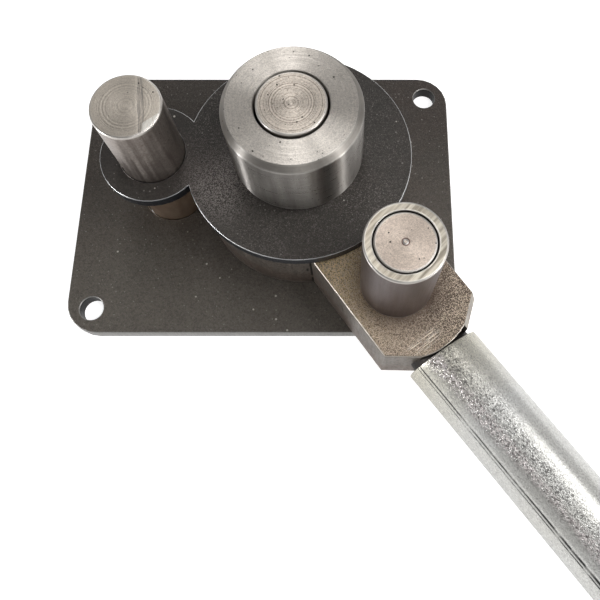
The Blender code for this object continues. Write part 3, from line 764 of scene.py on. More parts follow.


# %% [markdown]
# The arm's cut walls are plainer: grey, with a brown band low down and upright lines from the
# cut. The wall that faces the pipe is painted nearly black: painted shade for the gap at the pipe.


# %% The arm's walls
def make_arm_wall(name, end_painted_shade):
    material, tree, shader = new_material(name, 0.42, 0.8)
    place = local_place(tree, AXLE, (0, 0, ARM_ANGLE))
    low, high = (corner.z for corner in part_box("swing_arm"))
    lines = squeezed_noise(place, (1.0, 1.0, 0.12), 380.0, 4.0, 0.6)
    grain = effect("grain", Vector=place, Size=0.9 * MM)
    clouds = effect("clouds", Vector=place, Scale=50.0, Contrast=0.25)["Value"]
    wavy = plus(parts_of(place)[2], times(noise_value(place, 70.0), 8 * MM))
    band = remap(wavy, low + 0.4 * (high - low), low + 0.6 * (high - low))
    base = paint(blend_colours(band, colour(0.185, 0.142, 0.118), colour(0.20, 0.178, 0.155)),
                 (times(clouds, 0.5), colour(0.11, 0.09, 0.08)),
                 (remap(grain["Value"], 0.5, 0.75, 0.0, 0.6), colour(0.29, 0.24, 0.20)),
                 (remap(grain["Value"], 0.25, 0.45, 0.5, 0.0), colour(0.06, 0.045, 0.04)),
                 (times(edge_wear(place, 0.38), 0.65), colour(0.60, 0.55, 0.48)))
    # Painted shade: the end wall that faces the pipe is painted nearly black for the dark gap there.
    if end_painted_shade:
        base = paint(base, (remap(clouds, 0.0, 1.0, end_painted_shade, 1.0), colour(0.009, 0.008, 0.007)))
    bumps = plus(lines, times(grain["Height"], 0.3))
    connect(tree, shader, base, remap(lines, 0.3, 0.7, 0.34, 0.5), bumps, 0.1 * MM)
    return material


arm_wall = make_arm_wall("arm_wall", 0.0)
arm_end = make_arm_wall("arm_end", 0.85)
tell(arm_wall, arm_end)

# %% [markdown]
# The pipe's finish needs the pipe's own axis. Its two ends are rings of points, and the middle of
# each ring lies on the axis. A few rounds of looking along the last answer make it exact.

# %% The pipe's axis
END_ZONE = 8 * MM
AXIS_ROUNDS = 4


def pipe_axis():
    """The middles of the pipe's two ends, the one by the arm first."""
    points = points_of("handle_pipe")
    farthest = np.argmax(np.linalg.norm(points - np.array(AXLE), axis=1))
    direction = points[farthest] - np.array(FOLLOWER)
    for _ in range(AXIS_ROUNDS):
        direction = np.array((direction[0], direction[1], 0.0)) / np.hypot(direction[0], direction[1])
        frame_of_pipe = np.array((direction, (-direction[1], direction[0], 0.0), (0.0, 0.0, 1.0)))
        local = points @ frame_of_pipe.T
        run = local[:, 0]
        zones = (local[run < run.min() + END_ZONE], local[run > run.max() - END_ZONE])
        ends = [(zone.min(axis=0) + zone.max(axis=0)) / 2 @ frame_of_pipe for zone in zones]
        direction = ends[1] - ends[0]
    return Vector(ends[0]), Vector(ends[1])


PIPE_START, PIPE_END = pipe_axis()
PIPE_DIRECTION = (PIPE_END - PIPE_START).normalized()
PIPE_LENGTH = (PIPE_END - PIPE_START).length
PIPE_ANGLE = math.atan2(PIPE_DIRECTION.y, PIPE_DIRECTION.x)
print(f"pipe {PIPE_LENGTH / MM:.0f} mm long, turned {math.degrees(PIPE_ANGLE - ARM_ANGLE):.1f} degrees")

# %% [markdown]
# The handle is a length of hot-dip galvanised water pipe. Zinc freezes into small crystals, so
# the surface is a mosaic of silver greys with dark grains between, a little brown where the
# dip ran thin, and glossier than it looks. Its long seam shows as fine dark lines. All of this
# is laid out by the angle round the pipe and the distance along it. The seam comes first.

# %% The pipe's seam
SEAM_ANGLE = math.radians(-50)
SEAM_LINES = ((-0.09, 0.11 * MM, 0.34 * MM), (0.0, 0.19 * MM, 0.55 * MM))


def seam_mask(place, angle, run):
    """The seam's fine lines: they wander, break up, and widen along the pipe."""
    low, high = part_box("handle_pipe")
    radius = (high.z - low.z) / 2
    drift = squeezed_noise(place, (1.0, 0.0, 0.0), 30.0, 3.0)
    off = minus(plus(angle, times(drift, 0.04)), SEAM_ANGLE)
    broken = remap(squeezed_noise(place, (1.0, 0.2, 0.2), 160.0, 3.0), 0.35, 0.5, 0.25, 1.0)
    growing = remap(run, 60 * MM, 180 * MM, 0.8, 2.6)
    lines = []
    for offset, _, width in SEAM_LINES:
        away = calc("DIVIDE", times(distance(off, offset), radius), growing)
        lines.append(times(remap(away, width * 0.3, width * 0.8, 1.0, 0.0), broken))
    return calc("MAXIMUM", *lines)


print("seam lines, mm deep where they start:", [depth / MM for _, depth, _ in SEAM_LINES])

# %% [markdown]
# The zinc is roughest along one side, and the colour there has painted dark specks; a narrower
# band beside it has painted dark and pale specks. Both are a painted reflection of the dark space
# above the pipe, and fade along it. The heat of the cut has yellowed the end by the arm.

# %% Galvanised zinc
ROUGH_AND_PAINTED_DARK_ANGLE = math.radians(-14)
ROUGH_AND_PAINTED_DARK_REACH = math.radians(22)
PAINTED_REFLECTION_ANGLE = math.radians(-25)
PAINTED_REFLECTION_REACH = math.radians(9)
BURNT_LENGTH = 35 * MM


def make_galvanised():
    material, tree, shader = new_material("galvanised", 0.28, 0.72)
    place = local_place(tree, PIPE_START, (0, 0, PIPE_ANGLE))
    run, across, up = parts_of(place)
    angle = calc("ARCTAN2", across, up)
    stretched = vector_calc("MULTIPLY", place, (0.7, 1.0, 1.0))
    shifted = vector_calc("ADD", stretched, (0.7, 0.3, 0.5))
    sand = effect("grain", Vector=stretched, Size=0.55 * MM)
    fine = effect("grain", Vector=shifted, Size=0.4 * MM)
    crystals = effect("grain", Vector=shifted, Size=0.6 * MM)["Value"]
    clouds = effect("clouds", Vector=stretched, Scale=26.0, Contrast=0.0)["Value"]
    dips = effect("specks", Vector=stretched, Size=10 * MM, Share=0.5, Spot=0.08)["Mask"]
    pinholes = effect("specks", Vector=stretched, Size=2 * MM, Share=0.5, Spot=0.14)["Mask"]
    seam = seam_mask(place, angle, run)
    patchy = times(minus(clouds, 0.5), 0.3)
    # Two bands at set angles round the pipe: their specks are a painted reflection of the dark space above
    # it.
    from_rough_and_dark = plus(distance(angle, ROUGH_AND_PAINTED_DARK_ANGLE), patchy)
    from_painted_reflection = plus(distance(angle, PAINTED_REFLECTION_ANGLE), patchy)
    lumpy_and_painted_dark = remap(from_rough_and_dark, ROUGH_AND_PAINTED_DARK_REACH * 0.6, ROUGH_AND_PAINTED_DARK_REACH * 1.3, 1.0, 0.12)
    painted_reflection_band = remap(from_painted_reflection, PAINTED_REFLECTION_REACH * 0.5, PAINTED_REFLECTION_REACH * 1.5, 1.0, 0.0)
    painted_dark_specks = times(lumpy_and_painted_dark, remap(run, 70 * MM, 150 * MM, 1.0, 0.45))
    painted_reflection_band = times(painted_reflection_band, remap(run, 70 * MM, 200 * MM, 1.0, 0.45))
    # The coats of dark specks and pale crystals inside the bands are painted reflection.
    base = paint(blend_colours(clouds, colour(0.76, 0.765, 0.755), colour(0.67, 0.66, 0.615)),
                 (remap(run, 0.0, BURNT_LENGTH, 0.55, 0.0), colour(0.60, 0.55, 0.40)),
                 (remap(fine["Value"], 0.50, 0.58, 0.0, 0.5), colour(0.36, 0.35, 0.335)),
                 (times(remap(sand["Value"], 0.56, 0.61, 0.0, 0.85), painted_dark_specks), colour(0.05, 0.045, 0.045)),
                 (times(remap(sand["Value"], 0.48, 0.53, 0.0, 0.85), painted_reflection_band), colour(0.13, 0.105, 0.105)),
                 (times(remap(crystals, 0.50, 0.58, 0.0, 0.9), painted_reflection_band), colour(0.93, 0.86, 0.84)),
                 (times(pinholes, 0.7), colour(0.06, 0.055, 0.05)),
                 (times(dips, 0.7), colour(0.2, 0.17, 0.15)),
                 (seam, colour(0.035, 0.035, 0.035)))
    height = times(plus(sand["Height"], times(fine["Height"], 0.6)), lumpy_and_painted_dark)
    height = minus(height, times(seam, 0.8))
    connect(tree, shader, base, remap(sand["Value"], 0.3, 0.7, 0.24, 0.38), height, 0.18 * MM)
    return material


galvanised = make_galvanised()
tell(galvanised)

# %% [markdown]
# What is left is plain: weld metal, washers, the bronze bush and the spigot share one recipe with
# their own colours and grain, and the plug in the pipe's end is black plastic.


# %% Weld, washers, bush, spigot and plug
def make_plain_metal(name, pale, dark, gloss, grain_size, depth):
    """A cast, rolled or welded surface: cloudy, sandy and worn on its edges."""
    material, tree, shader = new_material(name, gloss, 0.95)
    place = local_place(tree)
    clouds = effect("clouds", Vector=place, Scale=90.0, Contrast=0.3)["Value"]
    grain = effect("grain", Vector=place, Size=grain_size)
    base = paint(blend_colours(clouds, dark, pale),
                 (times(grain["Value"], 0.3), dark),
                 (times(edge_wear(place, 0.5), 0.5), pale))
    rough = remap(grain["Value"], 0.1, 0.9, gloss - 0.07, gloss + 0.1)
    connect(tree, shader, base, rough, grain["Height"], depth)
    return material


def make_black_plastic():
    material, tree, shader = new_material("black_plastic", 0.45, 0.0)
    place = local_place(tree)
    grain = effect("grain", Vector=place, Size=0.6 * MM)
    clouds = effect("clouds", Vector=place, Scale=60.0, Contrast=0.2)["Value"]
    base = paint(blend_colours(clouds, colour(0.012, 0.012, 0.013), colour(0.022, 0.022, 0.023)),
                 (times(edge_wear(place, 0.3), 0.6), colour(0.07, 0.07, 0.072)))
    connect(tree, shader, base, remap(grain["Value"], 0.0, 1.0, 0.4, 0.56), grain["Height"], 0.06 * MM)
    return material


weld_metal = make_plain_metal("weld_metal", colour(0.42, 0.4, 0.38), colour(0.2, 0.18, 0.165),
                              0.38, 1.2 * MM, 0.12 * MM)
washer_steel = make_plain_metal("washer_steel", colour(0.5, 0.5, 0.5), colour(0.32, 0.32, 0.325),
                                0.34, 0.5 * MM, 0.03 * MM)
bush_bronze = make_plain_metal("bush_bronze", colour(0.62, 0.42, 0.2), colour(0.42, 0.27, 0.12),
                               0.36, 0.6 * MM, 0.03 * MM)
spigot_steel = make_plain_metal("spigot_steel", colour(0.05, 0.044, 0.04), colour(0.016, 0.014, 0.013),
                                0.5, 0.9 * MM, 0.06 * MM)
black_plastic = make_black_plastic()
tell(weld_metal, washer_steel, bush_bronze, spigot_steel, black_plastic)

# %% [markdown]
# Nearly every piece of a bender is turned on a lathe, so its shape follows one rule: a profile
# swept round an axis. A geometry node tree does the sweep. It reads the profile's points as
# radius and height, lays a grid with one row for each of them, and bends that grid into rings.
# Values stored on the profile ride along, and say where the edges are and which finish a band has.


# %% Helpers for geometry nodes
MERGE_DISTANCE = 0.002 * MM
THIN_DISTANCE = 0.001 * MM


def geometry_group(name, inputs):
    """An empty geometry tree with named inputs, given as label: (socket type, value)."""
    tree = bpy.data.node_groups.new(name, "GeometryNodeTree")
    for label, (kind, value) in inputs.items():
        socket = tree.interface.new_socket(label, in_out="INPUT", socket_type="NodeSocket" + kind)
        if value is not None:
            socket.default_value = value
    tree.interface.new_socket("Geometry", in_out="OUTPUT", socket_type="NodeSocketGeometry")
    return tree, tree.nodes.new("NodeGroupInput").outputs, tree.nodes.new("NodeGroupOutput").inputs


def store(mesh, name, value, domain):
    """Store a number on the points or faces of a mesh under a name."""
    values = {"Geometry": mesh, "Name": name, "Value": value}
    made = add(mesh.id_data, "GeometryNodeStoreNamedAttribute", values, domain=domain, data_type="FLOAT")
    return made.outputs[0]


def stored(tree, name):
    return add(tree, "GeometryNodeInputNamedAttribute", {"Name": name}, data_type="FLOAT").outputs[0]


def sample_row(profile, value, row, data_type="FLOAT"):
    """Read a value at one point of the profile."""
    values = {"Geometry": profile, "Value": value, "Index": row}
    made = add(row.id_data, "GeometryNodeSampleIndex", values, data_type=data_type, domain="POINT")
    return made.outputs[0]


def finish_faces(mesh, first, second):
    """Merge the seam, realise, and give the first finish to all and the second where it is asked."""
    tree = mesh.id_data
    values = {"Geometry": mesh, "Distance": MERGE_DISTANCE}
    mesh = add(tree, "GeometryNodeMergeByDistance", values).outputs[0]
    mesh = add(tree, "GeometryNodeRealizeInstances", {"Geometry": mesh}).outputs[0]
    mesh = add(tree, "GeometryNodeSetMaterial", {"Geometry": mesh, "Material": first}).outputs[0]
    chosen = add(tree, "FunctionNodeCompare", {0: stored(tree, "finish"), 1: 0.5}, operation="GREATER_THAN")
    values = {"Geometry": mesh, "Selection": chosen.outputs[0], "Material": second}
    return add(tree, "GeometryNodeSetMaterial", values).outputs[0]


print(f"points nearer than {MERGE_DISTANCE / MM:.3f} mm become one")

# %% [markdown]
# The lathe tree itself, with an input that makes the surface a little uneven. The lumps only ever
# go inward, so that a piece can't grow out of its solid.


# %% The lathe tree
def make_lathe():
    tree, take, give = geometry_group("lathe", {
        "Profile": ("Geometry", None), "Segments": ("Int", 128), "Sweep": ("Float", FULL_TURN),
        "Unevenness": ("Float", 0.0), "Lump Size": ("Float", 4 * MM), "Seed": ("Float", 0.0),
        "Face Finish": ("Material", None), "Side Finish": ("Material", None)})
    profile = take["Profile"]
    rows = add(tree, "GeometryNodeAttributeDomainSize", {0: profile}).outputs["Point Count"]
    grid = add(tree, "GeometryNodeMeshGrid", {"Size X": 1.0, "Size Y": 1.0, "Vertices X": rows,
                                              "Vertices Y": plus(take["Segments"], 1.0)}).outputs[0]
    place = add(tree, "GeometryNodeInputPosition").outputs[0]
    down, round_axis = parts_of(place)[:2]
    run = times(plus(down, 0.5), minus(rows, 1.0))
    row, band = calc("ROUND", run), calc("FLOOR", run)
    angle = times(plus(round_axis, 0.5), take["Sweep"])
    cosine, sine = calc("COSINE", angle), calc("SINE", angle)
    mesh = store(grid, "edge", sample_row(profile, stored(tree, "edge"), row), "POINT")
    mesh = store(mesh, "finish", sample_row(profile, stored(tree, "finish"), band), "FACE")
    radius, _, height = parts_of(sample_row(profile, place, row, "FLOAT_VECTOR"))
    reach = vector_of(times(radius, cosine), times(radius, sine), height)
    values = {0: reach, "Scale": calc("DIVIDE", 1.0, take["Lump Size"])}
    spot = add(tree, "ShaderNodeVectorMath", values, operation="SCALE").outputs[0]
    values = {"Vector": spot, "W": take["Seed"], "Scale": 1.0, "Detail": 3.0}
    lumps = add(tree, "ShaderNodeTexNoise", values, noise_dimensions="4D").outputs[0]
    radius = calc("MAXIMUM", minus(radius, times(lumps, take["Unevenness"])), 0.0)
    moved = vector_of(times(radius, cosine), times(radius, sine), height)
    mesh = add(tree, "GeometryNodeSetPosition", {"Geometry": mesh, "Position": moved}).outputs[0]
    tree.links.new(finish_faces(mesh, take["Face Finish"], take["Side Finish"]), give["Geometry"])
    return tree


lathe = make_lathe()
print("lathe nodes:", len(lathe.nodes))

# %% [markdown]
# A tree runs as a modifier on a small starting mesh. Its inputs are set by their identifiers,
# the result is copied to a plain mesh, and the modifier goes away with its object, so that what
# stays in the scene is geometry that anyone can edit.

# %% Run a tree and tidy its mesh
SMOOTH_ANGLE = math.radians(32)


def grow(tree, start, inputs):
    """Run a geometry tree on a starting mesh and return the result as a plain mesh."""
    holder = bpy.data.objects.new("holder", start)
    bpy.context.scene.collection.objects.link(holder)
    modifier = holder.modifiers.new("tree", "NODES")
    modifier.node_group = tree
    for item in tree.interface.items_tree:
        if item.item_type == "SOCKET" and item.in_out == "INPUT" and item.name in inputs:
            modifier[item.identifier] = inputs[item.name]
    holder.update_tag()
    graph = bpy.context.evaluated_depsgraph_get()
    result = bpy.data.meshes.new_from_object(holder.evaluated_get(graph))
    bpy.data.objects.remove(holder)
    bpy.data.meshes.remove(start)
    return result


def clean(mesh):
    """Merge what is still double, turn all normals outward, and shade smooth between sharp edges."""
    shape = bmesh.new()
    shape.from_mesh(mesh)
    bmesh.ops.remove_doubles(shape, verts=shape.verts, dist=MERGE_DISTANCE)
    bmesh.ops.dissolve_degenerate(shape, edges=shape.edges, dist=THIN_DISTANCE)
    bmesh.ops.recalc_face_normals(shape, faces=shape.faces)
    shape.to_mesh(mesh)
    shape.free()
    mesh.shade_smooth()
    mesh.set_sharp_from_angle(angle=SMOOTH_ANGLE)
    return mesh


print(f"shaded smooth where faces meet at less than {math.degrees(SMOOTH_ANGLE):.0f} degrees")

# %% [markdown]
# Each piece becomes one object at the origin. It says which body it rides on and which solids of
# the imported model it stands for.

# %% Register a piece
pieces = {}
stands_for = {}


def add_piece(name, mesh, body, slot_name, *nodes):
    """Make the mesh an object of the scene that rides on a body and stands for these solids."""
    mesh.name = name
    piece = bpy.data.objects.new(name, mesh)
    bpy.context.scene.collection.objects.link(piece)
    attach(piece, body)
    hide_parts(*nodes)
    pieces[name] = piece
    stands_for[name] = nodes
    triangles = sum(len(face.vertices) - 2 for face in mesh.polygons)
    print(f"{name}: {triangles} triangles")
    return piece


# %% [markdown]
# The profile of a round piece is read from its solid: the radii at each of its levels, down the
# outside, and up the bore if it has one.

# %% Profiles from the solids
HOLLOW = {"die_ring", "follower_sleeve", "arm_bush", "lower_thrust_washer", "upper_thrust_washer"}


def line_mesh(points, values):
    """A chain of points as a mesh, with named values stored on the points."""
    mesh = bpy.data.meshes.new("profile")
    mesh.from_pydata([tuple(point) for point in points], [(i, i + 1) for i in range(len(points) - 1)], [])
    for name, numbers in values.items():
        mesh.attributes.new(name, "FLOAT", "POINT").data.foreach_set("value", [float(n) for n in numbers])
    return mesh


def measured_profile(node):
    """Corners of a round solid as (radius, height): down its outside, then up its bore if it has one."""
    low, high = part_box(node)
    bands = {z: radii_at(node, z) for z in levels_of(node)}
    bored = min(band[0] for band in bands.values()) if node in HOLLOW else 0.0
    wall = max(band[1] for band in bands.values())
    corners = []
    for z, band in bands.items():
        found = sorted({r for r in band if node not in HOLLOW or r > (bored + wall) / 2})
        found = [r for i, r in enumerate(found) if i == 0 or r - found[i - 1] > TOUCH]
        if corners and len(found) == 2 and abs(found[1] - corners[-1][0]) < abs(found[0] - corners[-1][0]):
            found.reverse()
        corners += [(r, z) for r in found]
    if node in HOLLOW:
        return corners + [(bored, low.z), (bored, high.z)]
    return [(0.0, high.z)] + corners + [(0.0, low.z)]


def in_mm(corners):
    return [(round(float(r) / MM, 1), round(float(z) / MM, 1)) for r, z in corners]


print("die ring corners, mm:", in_mm(measured_profile("die_ring")))

# %% [markdown]
# A real turned corner is never sharp: the tool breaks it with a tiny round that catches the
# light as a thin bright line. The flat faces get real rings too, a few hundredths of a
# millimetre deep, so that the highlight breaks up the way it does on the metal.

# %% Refine a profile
RING_SPACING = 0.45 * MM
SIDE_SPACING = 1.6 * MM
ROUND_POINTS = 3
WORN_REACH = 1.2 * MM
WORN_SHARE = 0.55
random_rings = np.random.default_rng(7)


def round_corners(corners, rounding, closed):
    """Replace each corner by a small curve. Gives places with 1 on a curve and 0 on a bare end."""
    count = len(corners)
    chain = []
    for i, corner in enumerate(corners):
        here = np.array(corner)
        if not closed and i in (0, count - 1):
            chain.append((here, 0.0))
            continue
        back, ahead = np.array(corners[i - 1]) - here, np.array(corners[(i + 1) % count]) - here
        cut = min(rounding, np.linalg.norm(back) * 0.4, np.linalg.norm(ahead) * 0.4)
        start = here + back / np.linalg.norm(back) * cut
        end = here + ahead / np.linalg.norm(ahead) * cut
        for step in range(ROUND_POINTS + 1):
            t = step / ROUND_POINTS
            chain.append((start * (1 - t) ** 2 + here * 2 * t * (1 - t) + end * t ** 2, 1.0))
    return chain + chain[:1] if closed else chain


def refine(corners, rounding, closed, ring_depth, side_spacing):
    """Break each corner of a profile, and give its flats rings. Returns points and stored values."""
    chain = round_corners(corners, rounding, closed)
    points, edges, finishes = [], [], []
    for (spot, edge), (following, next_edge) in zip(chain, chain[1:] + [chain[-1]]):
        gap = following - spot
        length = float(np.linalg.norm(gap))
        level = abs(gap[1]) < abs(gap[0]) * 0.2
        on_curve = edge and next_edge and length < rounding
        spacing = RING_SPACING if level and ring_depth else side_spacing
        steps = 1 if on_curve else max(1, math.ceil(length / spacing))
        towards_inside = 1.0 if level and gap[0] < 0 else -1.0
        at_axis = not closed and spot[0] == 0
        for step in range(steps):
            t = step / steps
            depth = ring_depth * random_rings.random() if step and level else 0.0
            points.append((spot[0] + gap[0] * t, 0.0, spot[1] + gap[1] * t + towards_inside * depth))
            fade = max(0.0, 1.0 - min(t, 1 - t) * length / WORN_REACH) * WORN_SHARE
            edges.append(edge if step == 0 and not at_axis else fade)
            finishes.append(0.0 if level else 1.0)
    return points, {"edge": edges, "finish": finishes}


plain_corners = [(0.0, 0.0), (10 * MM, 0.0), (10 * MM, -5 * MM), (0.0, -5 * MM)]
print("a plain disc of 4 corners gets", len(round_corners(plain_corners, 0.5 * MM, False)), "points")

# %% [markdown]
# Turning a piece is then one call: the corners, the two finishes, and how many segments go round.


# %% Turn a piece
def turn(corners, face_finish, side_finish, segments, rounding=0.35 * MM, closed=True, ring_depth=0.0,
         unevenness=0.0, lump_size=4 * MM, sweep=FULL_TURN, seed=1.0, side_spacing=SIDE_SPACING):
    """Sweep a profile on the lathe tree. The mesh stands round the world's Z axis."""
    points, values = refine(corners, rounding, closed, ring_depth, side_spacing)
    inputs = {"Segments": segments, "Sweep": sweep, "Unevenness": unevenness, "Lump Size": lump_size,
              "Seed": seed, "Face Finish": face_finish, "Side Finish": side_finish}
    return clean(grow(lathe, line_mesh(points, values), inputs))


def shift(mesh, place):
    mesh.transform(Matrix.Translation(place))
    return mesh


print(f"flats get a ring every {RING_SPACING / MM:.2f} mm")

# %% [markdown]
# The die ring is what the bar bends round. It is turned all over, with a wide chamfer at each
# end so that it can go on either way up, and it sits loose on the axle.

# %% Die ring
die_mesh = turn(measured_profile("die_ring"), die_bright, die_side, 256, ring_depth=0.012 * MM)
add_piece("die-ring", shift(die_mesh, AXLE), "die", "bright_steel", "die_ring")

# %% [markdown]
# The fixed axle stands in the plate and everything turns on it. Its top was faced in the lathe,
# and the tool left clear rings on it.

# %% Centre axle
axle_mesh = turn(measured_profile("centre_axle"), axle_face, axle_side, 192, rounding=0.5 * MM,
                 closed=False, ring_depth=0.03 * MM)
add_piece("centre-axle", shift(axle_mesh, AXLE), "base", "turned_steel", "centre_axle")

# %% [markdown]
# The stop post holds the bar from behind. It is a plain round bar that was sawn to length: its
# top has marks of the blade, a low step where the last strip broke off, and one bright chip.

# %% Stop post
BAND_DEPTH = 0.03 * MM
BAND_EDGE = 0.2 * MM
CHIP_SLOPE = 0.03
TOP_SKIN = 0.25 * MM


def shape_top(mesh, top, depth_at):
    """Lower the points of a piece's top face. depth_at gives the depth at an x and y."""
    for vertex in mesh.vertices:
        if vertex.co.z > top - TOP_SKIN:
            vertex.co.z -= max(0.0, depth_at(vertex.co.x, vertex.co.y))
    mesh.update()
    return mesh


def post_top_depth(x, y):
    """The groove of the saw band, or the slope of the chip where that is deeper."""
    middle, half_width = sum(SAW_BAND) / 2, (SAW_BAND[1] - SAW_BAND[0]) / 2
    across = x * math.cos(BLADE_TURN) + y * math.sin(BLADE_TURN)
    groove = BAND_DEPTH / (1 + math.exp((abs(across - middle) - half_width) / BAND_EDGE))
    past = min(x - CHIP_START[0], (x - CHIP_START[0]) * CHIP_SIDE - (y - CHIP_START[1]))
    return max(groove, CHIP_SLOPE * past)


post_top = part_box("stop_post")[1].z
post_mesh = turn(measured_profile("stop_post"), post_face, post_side, 192, rounding=0.6 * MM,
                 closed=False, ring_depth=0.01 * MM, unevenness=0.05 * MM, lump_size=3 * MM)
shape_top(post_mesh, post_top, post_top_depth)
add_piece("stop-post", shift(post_mesh, POST), "base", "turned_steel", "stop_post")

# %% [markdown]
# The follower is a pin in the arm with a loose sleeve on it that rolls along the bar. The pin's
# end keeps the little pip where it was parted off in the lathe.

# %% Follower pin
PIP_HEIGHT = 0.25 * MM
pin_corners = measured_profile("follower_pin")
pin_top = pin_corners[0][1]
pin_corners = [(0.0, pin_top), (PIP_RADIUS, pin_top), (PIP_RADIUS * 1.5, pin_top - PIP_HEIGHT)] + [
    (r, min(z, pin_top - PIP_HEIGHT)) for r, z in pin_corners[1:]]
pin_mesh = turn(pin_corners, pin_face, sleeve_side, 144, rounding=0.6 * MM, closed=False,
                ring_depth=0.012 * MM)
add_piece("follower-pin", shift(pin_mesh, FOLLOWER), "arm", "arm_steel", "follower_pin")

# %% [markdown]
# The sleeve's end is ridged by the saw. Two waves of different length, added, give the uneven
# ridges that a blade pushed by hand leaves.

# %% Follower sleeve
SAW_RIDGE = 0.05 * MM
SAW_PITCH = 0.9 * MM


def saw_depth(x, y):
    """How deep the saw went at a place on the sleeve's end."""
    across = -x * math.sin(SAW_ANGLE) + y * math.cos(SAW_ANGLE)
    wave = math.sin(across / SAW_PITCH * FULL_TURN) + 0.6 * math.sin(across / SAW_PITCH * 9.1 + 1.3)
    return SAW_RIDGE * (1.6 + wave) / 2


sleeve_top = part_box("follower_sleeve")[1].z
sleeve_mesh = turn(measured_profile("follower_sleeve"), sawn_end, sleeve_side, 192, rounding=0.4 * MM,
                   ring_depth=0.001 * MM, unevenness=0.03 * MM, lump_size=6 * MM)
shape_top(sleeve_mesh, sleeve_top, saw_depth)
add_piece("follower-sleeve", shift(sleeve_mesh, FOLLOWER), "follower", "sleeve_steel", "follower_sleeve")

# %% [markdown]
# Washers keep the arm off the plates, and a bronze bush lines its hub. They hardly show, but
# they are there in the gaps.

# %% Washers and bush
for node, finish, body, slot_name in (
        ("lower_thrust_washer", washer_steel, "base", "washer_steel"),
        ("upper_thrust_washer", washer_steel, "base", "washer_steel"),
        ("arm_bush", bush_bronze, "arm", "bronze")):
    ring = turn(measured_profile(node), finish, finish, 144, rounding=0.2 * MM, ring_depth=0.01 * MM)
    add_piece(node.replace("_", "-"), shift(ring, middle_of(node).xy.to_3d()), body, slot_name, node)

# %% [markdown]
# The plates are cut from sheet. To build one, walk round the flat face of its solid, and stack
# the same outline at several heights: pulled in a little at the top and bottom for the filed
# edge, and uneven by a few hundredths in between, as a cutting beam leaves it. The walk comes
# first. Its outlines are points, the outer one before those of the holes.


# %% Walk round a flat face
def outlines_of(node, level):
    """Closed outlines of a solid's flat face at a level, as lists of points."""
    shape = bmesh.new()
    shape.from_mesh(frame["nodes"][node].data)
    bmesh.ops.remove_doubles(shape, verts=shape.verts, dist=MERGE_DISTANCE)
    shape.verts.index_update()
    shape.faces.index_update()
    flat = [face.index for face in shape.faces if all(abs(v.co.z - level) < TOUCH for v in face.verts)]
    shape.faces.ensure_lookup_table()
    follows = {}
    for index in flat:
        for loop in shape.faces[index].loops:
            if sum(other.index in flat for other in loop.edge.link_faces) == 1:
                follows[loop.vert.index] = loop.link_loop_next.vert.index
    places = {vertex.index: vertex.co.xy.copy() for vertex in shape.verts}
    shape.free()
    outlines = []
    while follows:
        start = min(follows)
        end = follows.pop(start)
        chain = [places[start]]
        while end != start:
            chain.append(places[end])
            end = follows.pop(end)
        outlines.append(chain)
    return sorted(outlines, key=lambda chain: -max((point - chain[0]).length for point in chain))


guide_outlines = outlines_of("guide_plate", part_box("guide_plate")[1].z)
print("points on the guide plate's outlines:", [len(outline) for outline in guide_outlines])

# %% [markdown]
# An outline then gets points along its straight parts, and at each point the direction that leads
# into the steel, so that it can be pulled in.


# %% Points and directions on an outline
def resample(outline, spacing):
    """Add points along the straight parts of an outline."""
    points = []
    for here, following in zip(outline, outline[1:] + outline[:1]):
        steps = max(1, math.ceil((following - here).length / spacing))
        points += [here.lerp(following, step / steps) for step in range(steps)]
    return points


def inward_normals(outline, solid_inside):
    """At each point of an outline, the step that moves it by one unit into the material."""
    area = sum(a.cross(b) for a, b in zip(outline, outline[1:] + outline[:1]))
    sign = (1 if area > 0 else -1) * (1 if solid_inside else -1)
    steps = []
    for before, here, after in zip(outline[-1:] + outline[:-1], outline, outline[1:] + outline[:1]):
        first, second = (here - before).normalized(), (after - here).normalized()
        left = Vector((-first.y - second.y, first.x + second.x)).normalized()
        steps.append(left * sign / max(0.5, math.cos(first.angle(second) / 2)))
    return steps


fine_outline = resample(guide_outlines[0], 1 * MM)
print("after adding points:", len(fine_outline), "directions:", len(inward_normals(fine_outline, True)))

# %% [markdown]
# The flat face between an outline and its holes is filled with triangles, and a plane can slice
# a corner off the whole plate.


# %% Fill and slice
def is_inside(point, outline):
    """Whether a point lies within a closed outline, found by counting the sides that it is left of."""
    crossings = 0
    for a, b in zip(outline, outline[1:] + outline[:1]):
        if (a.y > point.y) != (b.y > point.y):
            crossings += point.x < a.x + (b.x - a.x) * (point.y - a.y) / (b.y - a.y)
    return crossings % 2 == 1


def fill_cap(shape, rings):
    """Close a flat face between an outer ring of vertices and the rings of its holes."""
    vertices = [vertex for ring in rings for vertex in ring]
    outlines = [[vertex.co.xy for vertex in ring] for ring in rings]
    sides, first = [], 0
    for ring in rings:
        sides += [(first + i, first + (i + 1) % len(ring)) for i in range(len(ring))]
        first += len(ring)
    found = delaunay_2d_cdt([vertex.co.xy for vertex in vertices], sides, [], 1, 0.1 * TOUCH)
    corners = [vertices[ids[0]] if ids else shape.verts.new((*spot, vertices[0].co.z))
               for spot, ids in zip(found[0], found[3])]
    for triangle in found[2]:
        centre = sum((corners[i].co.xy for i in triangle), Vector((0, 0))) / 3
        if is_inside(centre, outlines[0]) and not any(is_inside(centre, hole) for hole in outlines[1:]):
            shape.faces.new([corners[i] for i in triangle]).material_index = 0


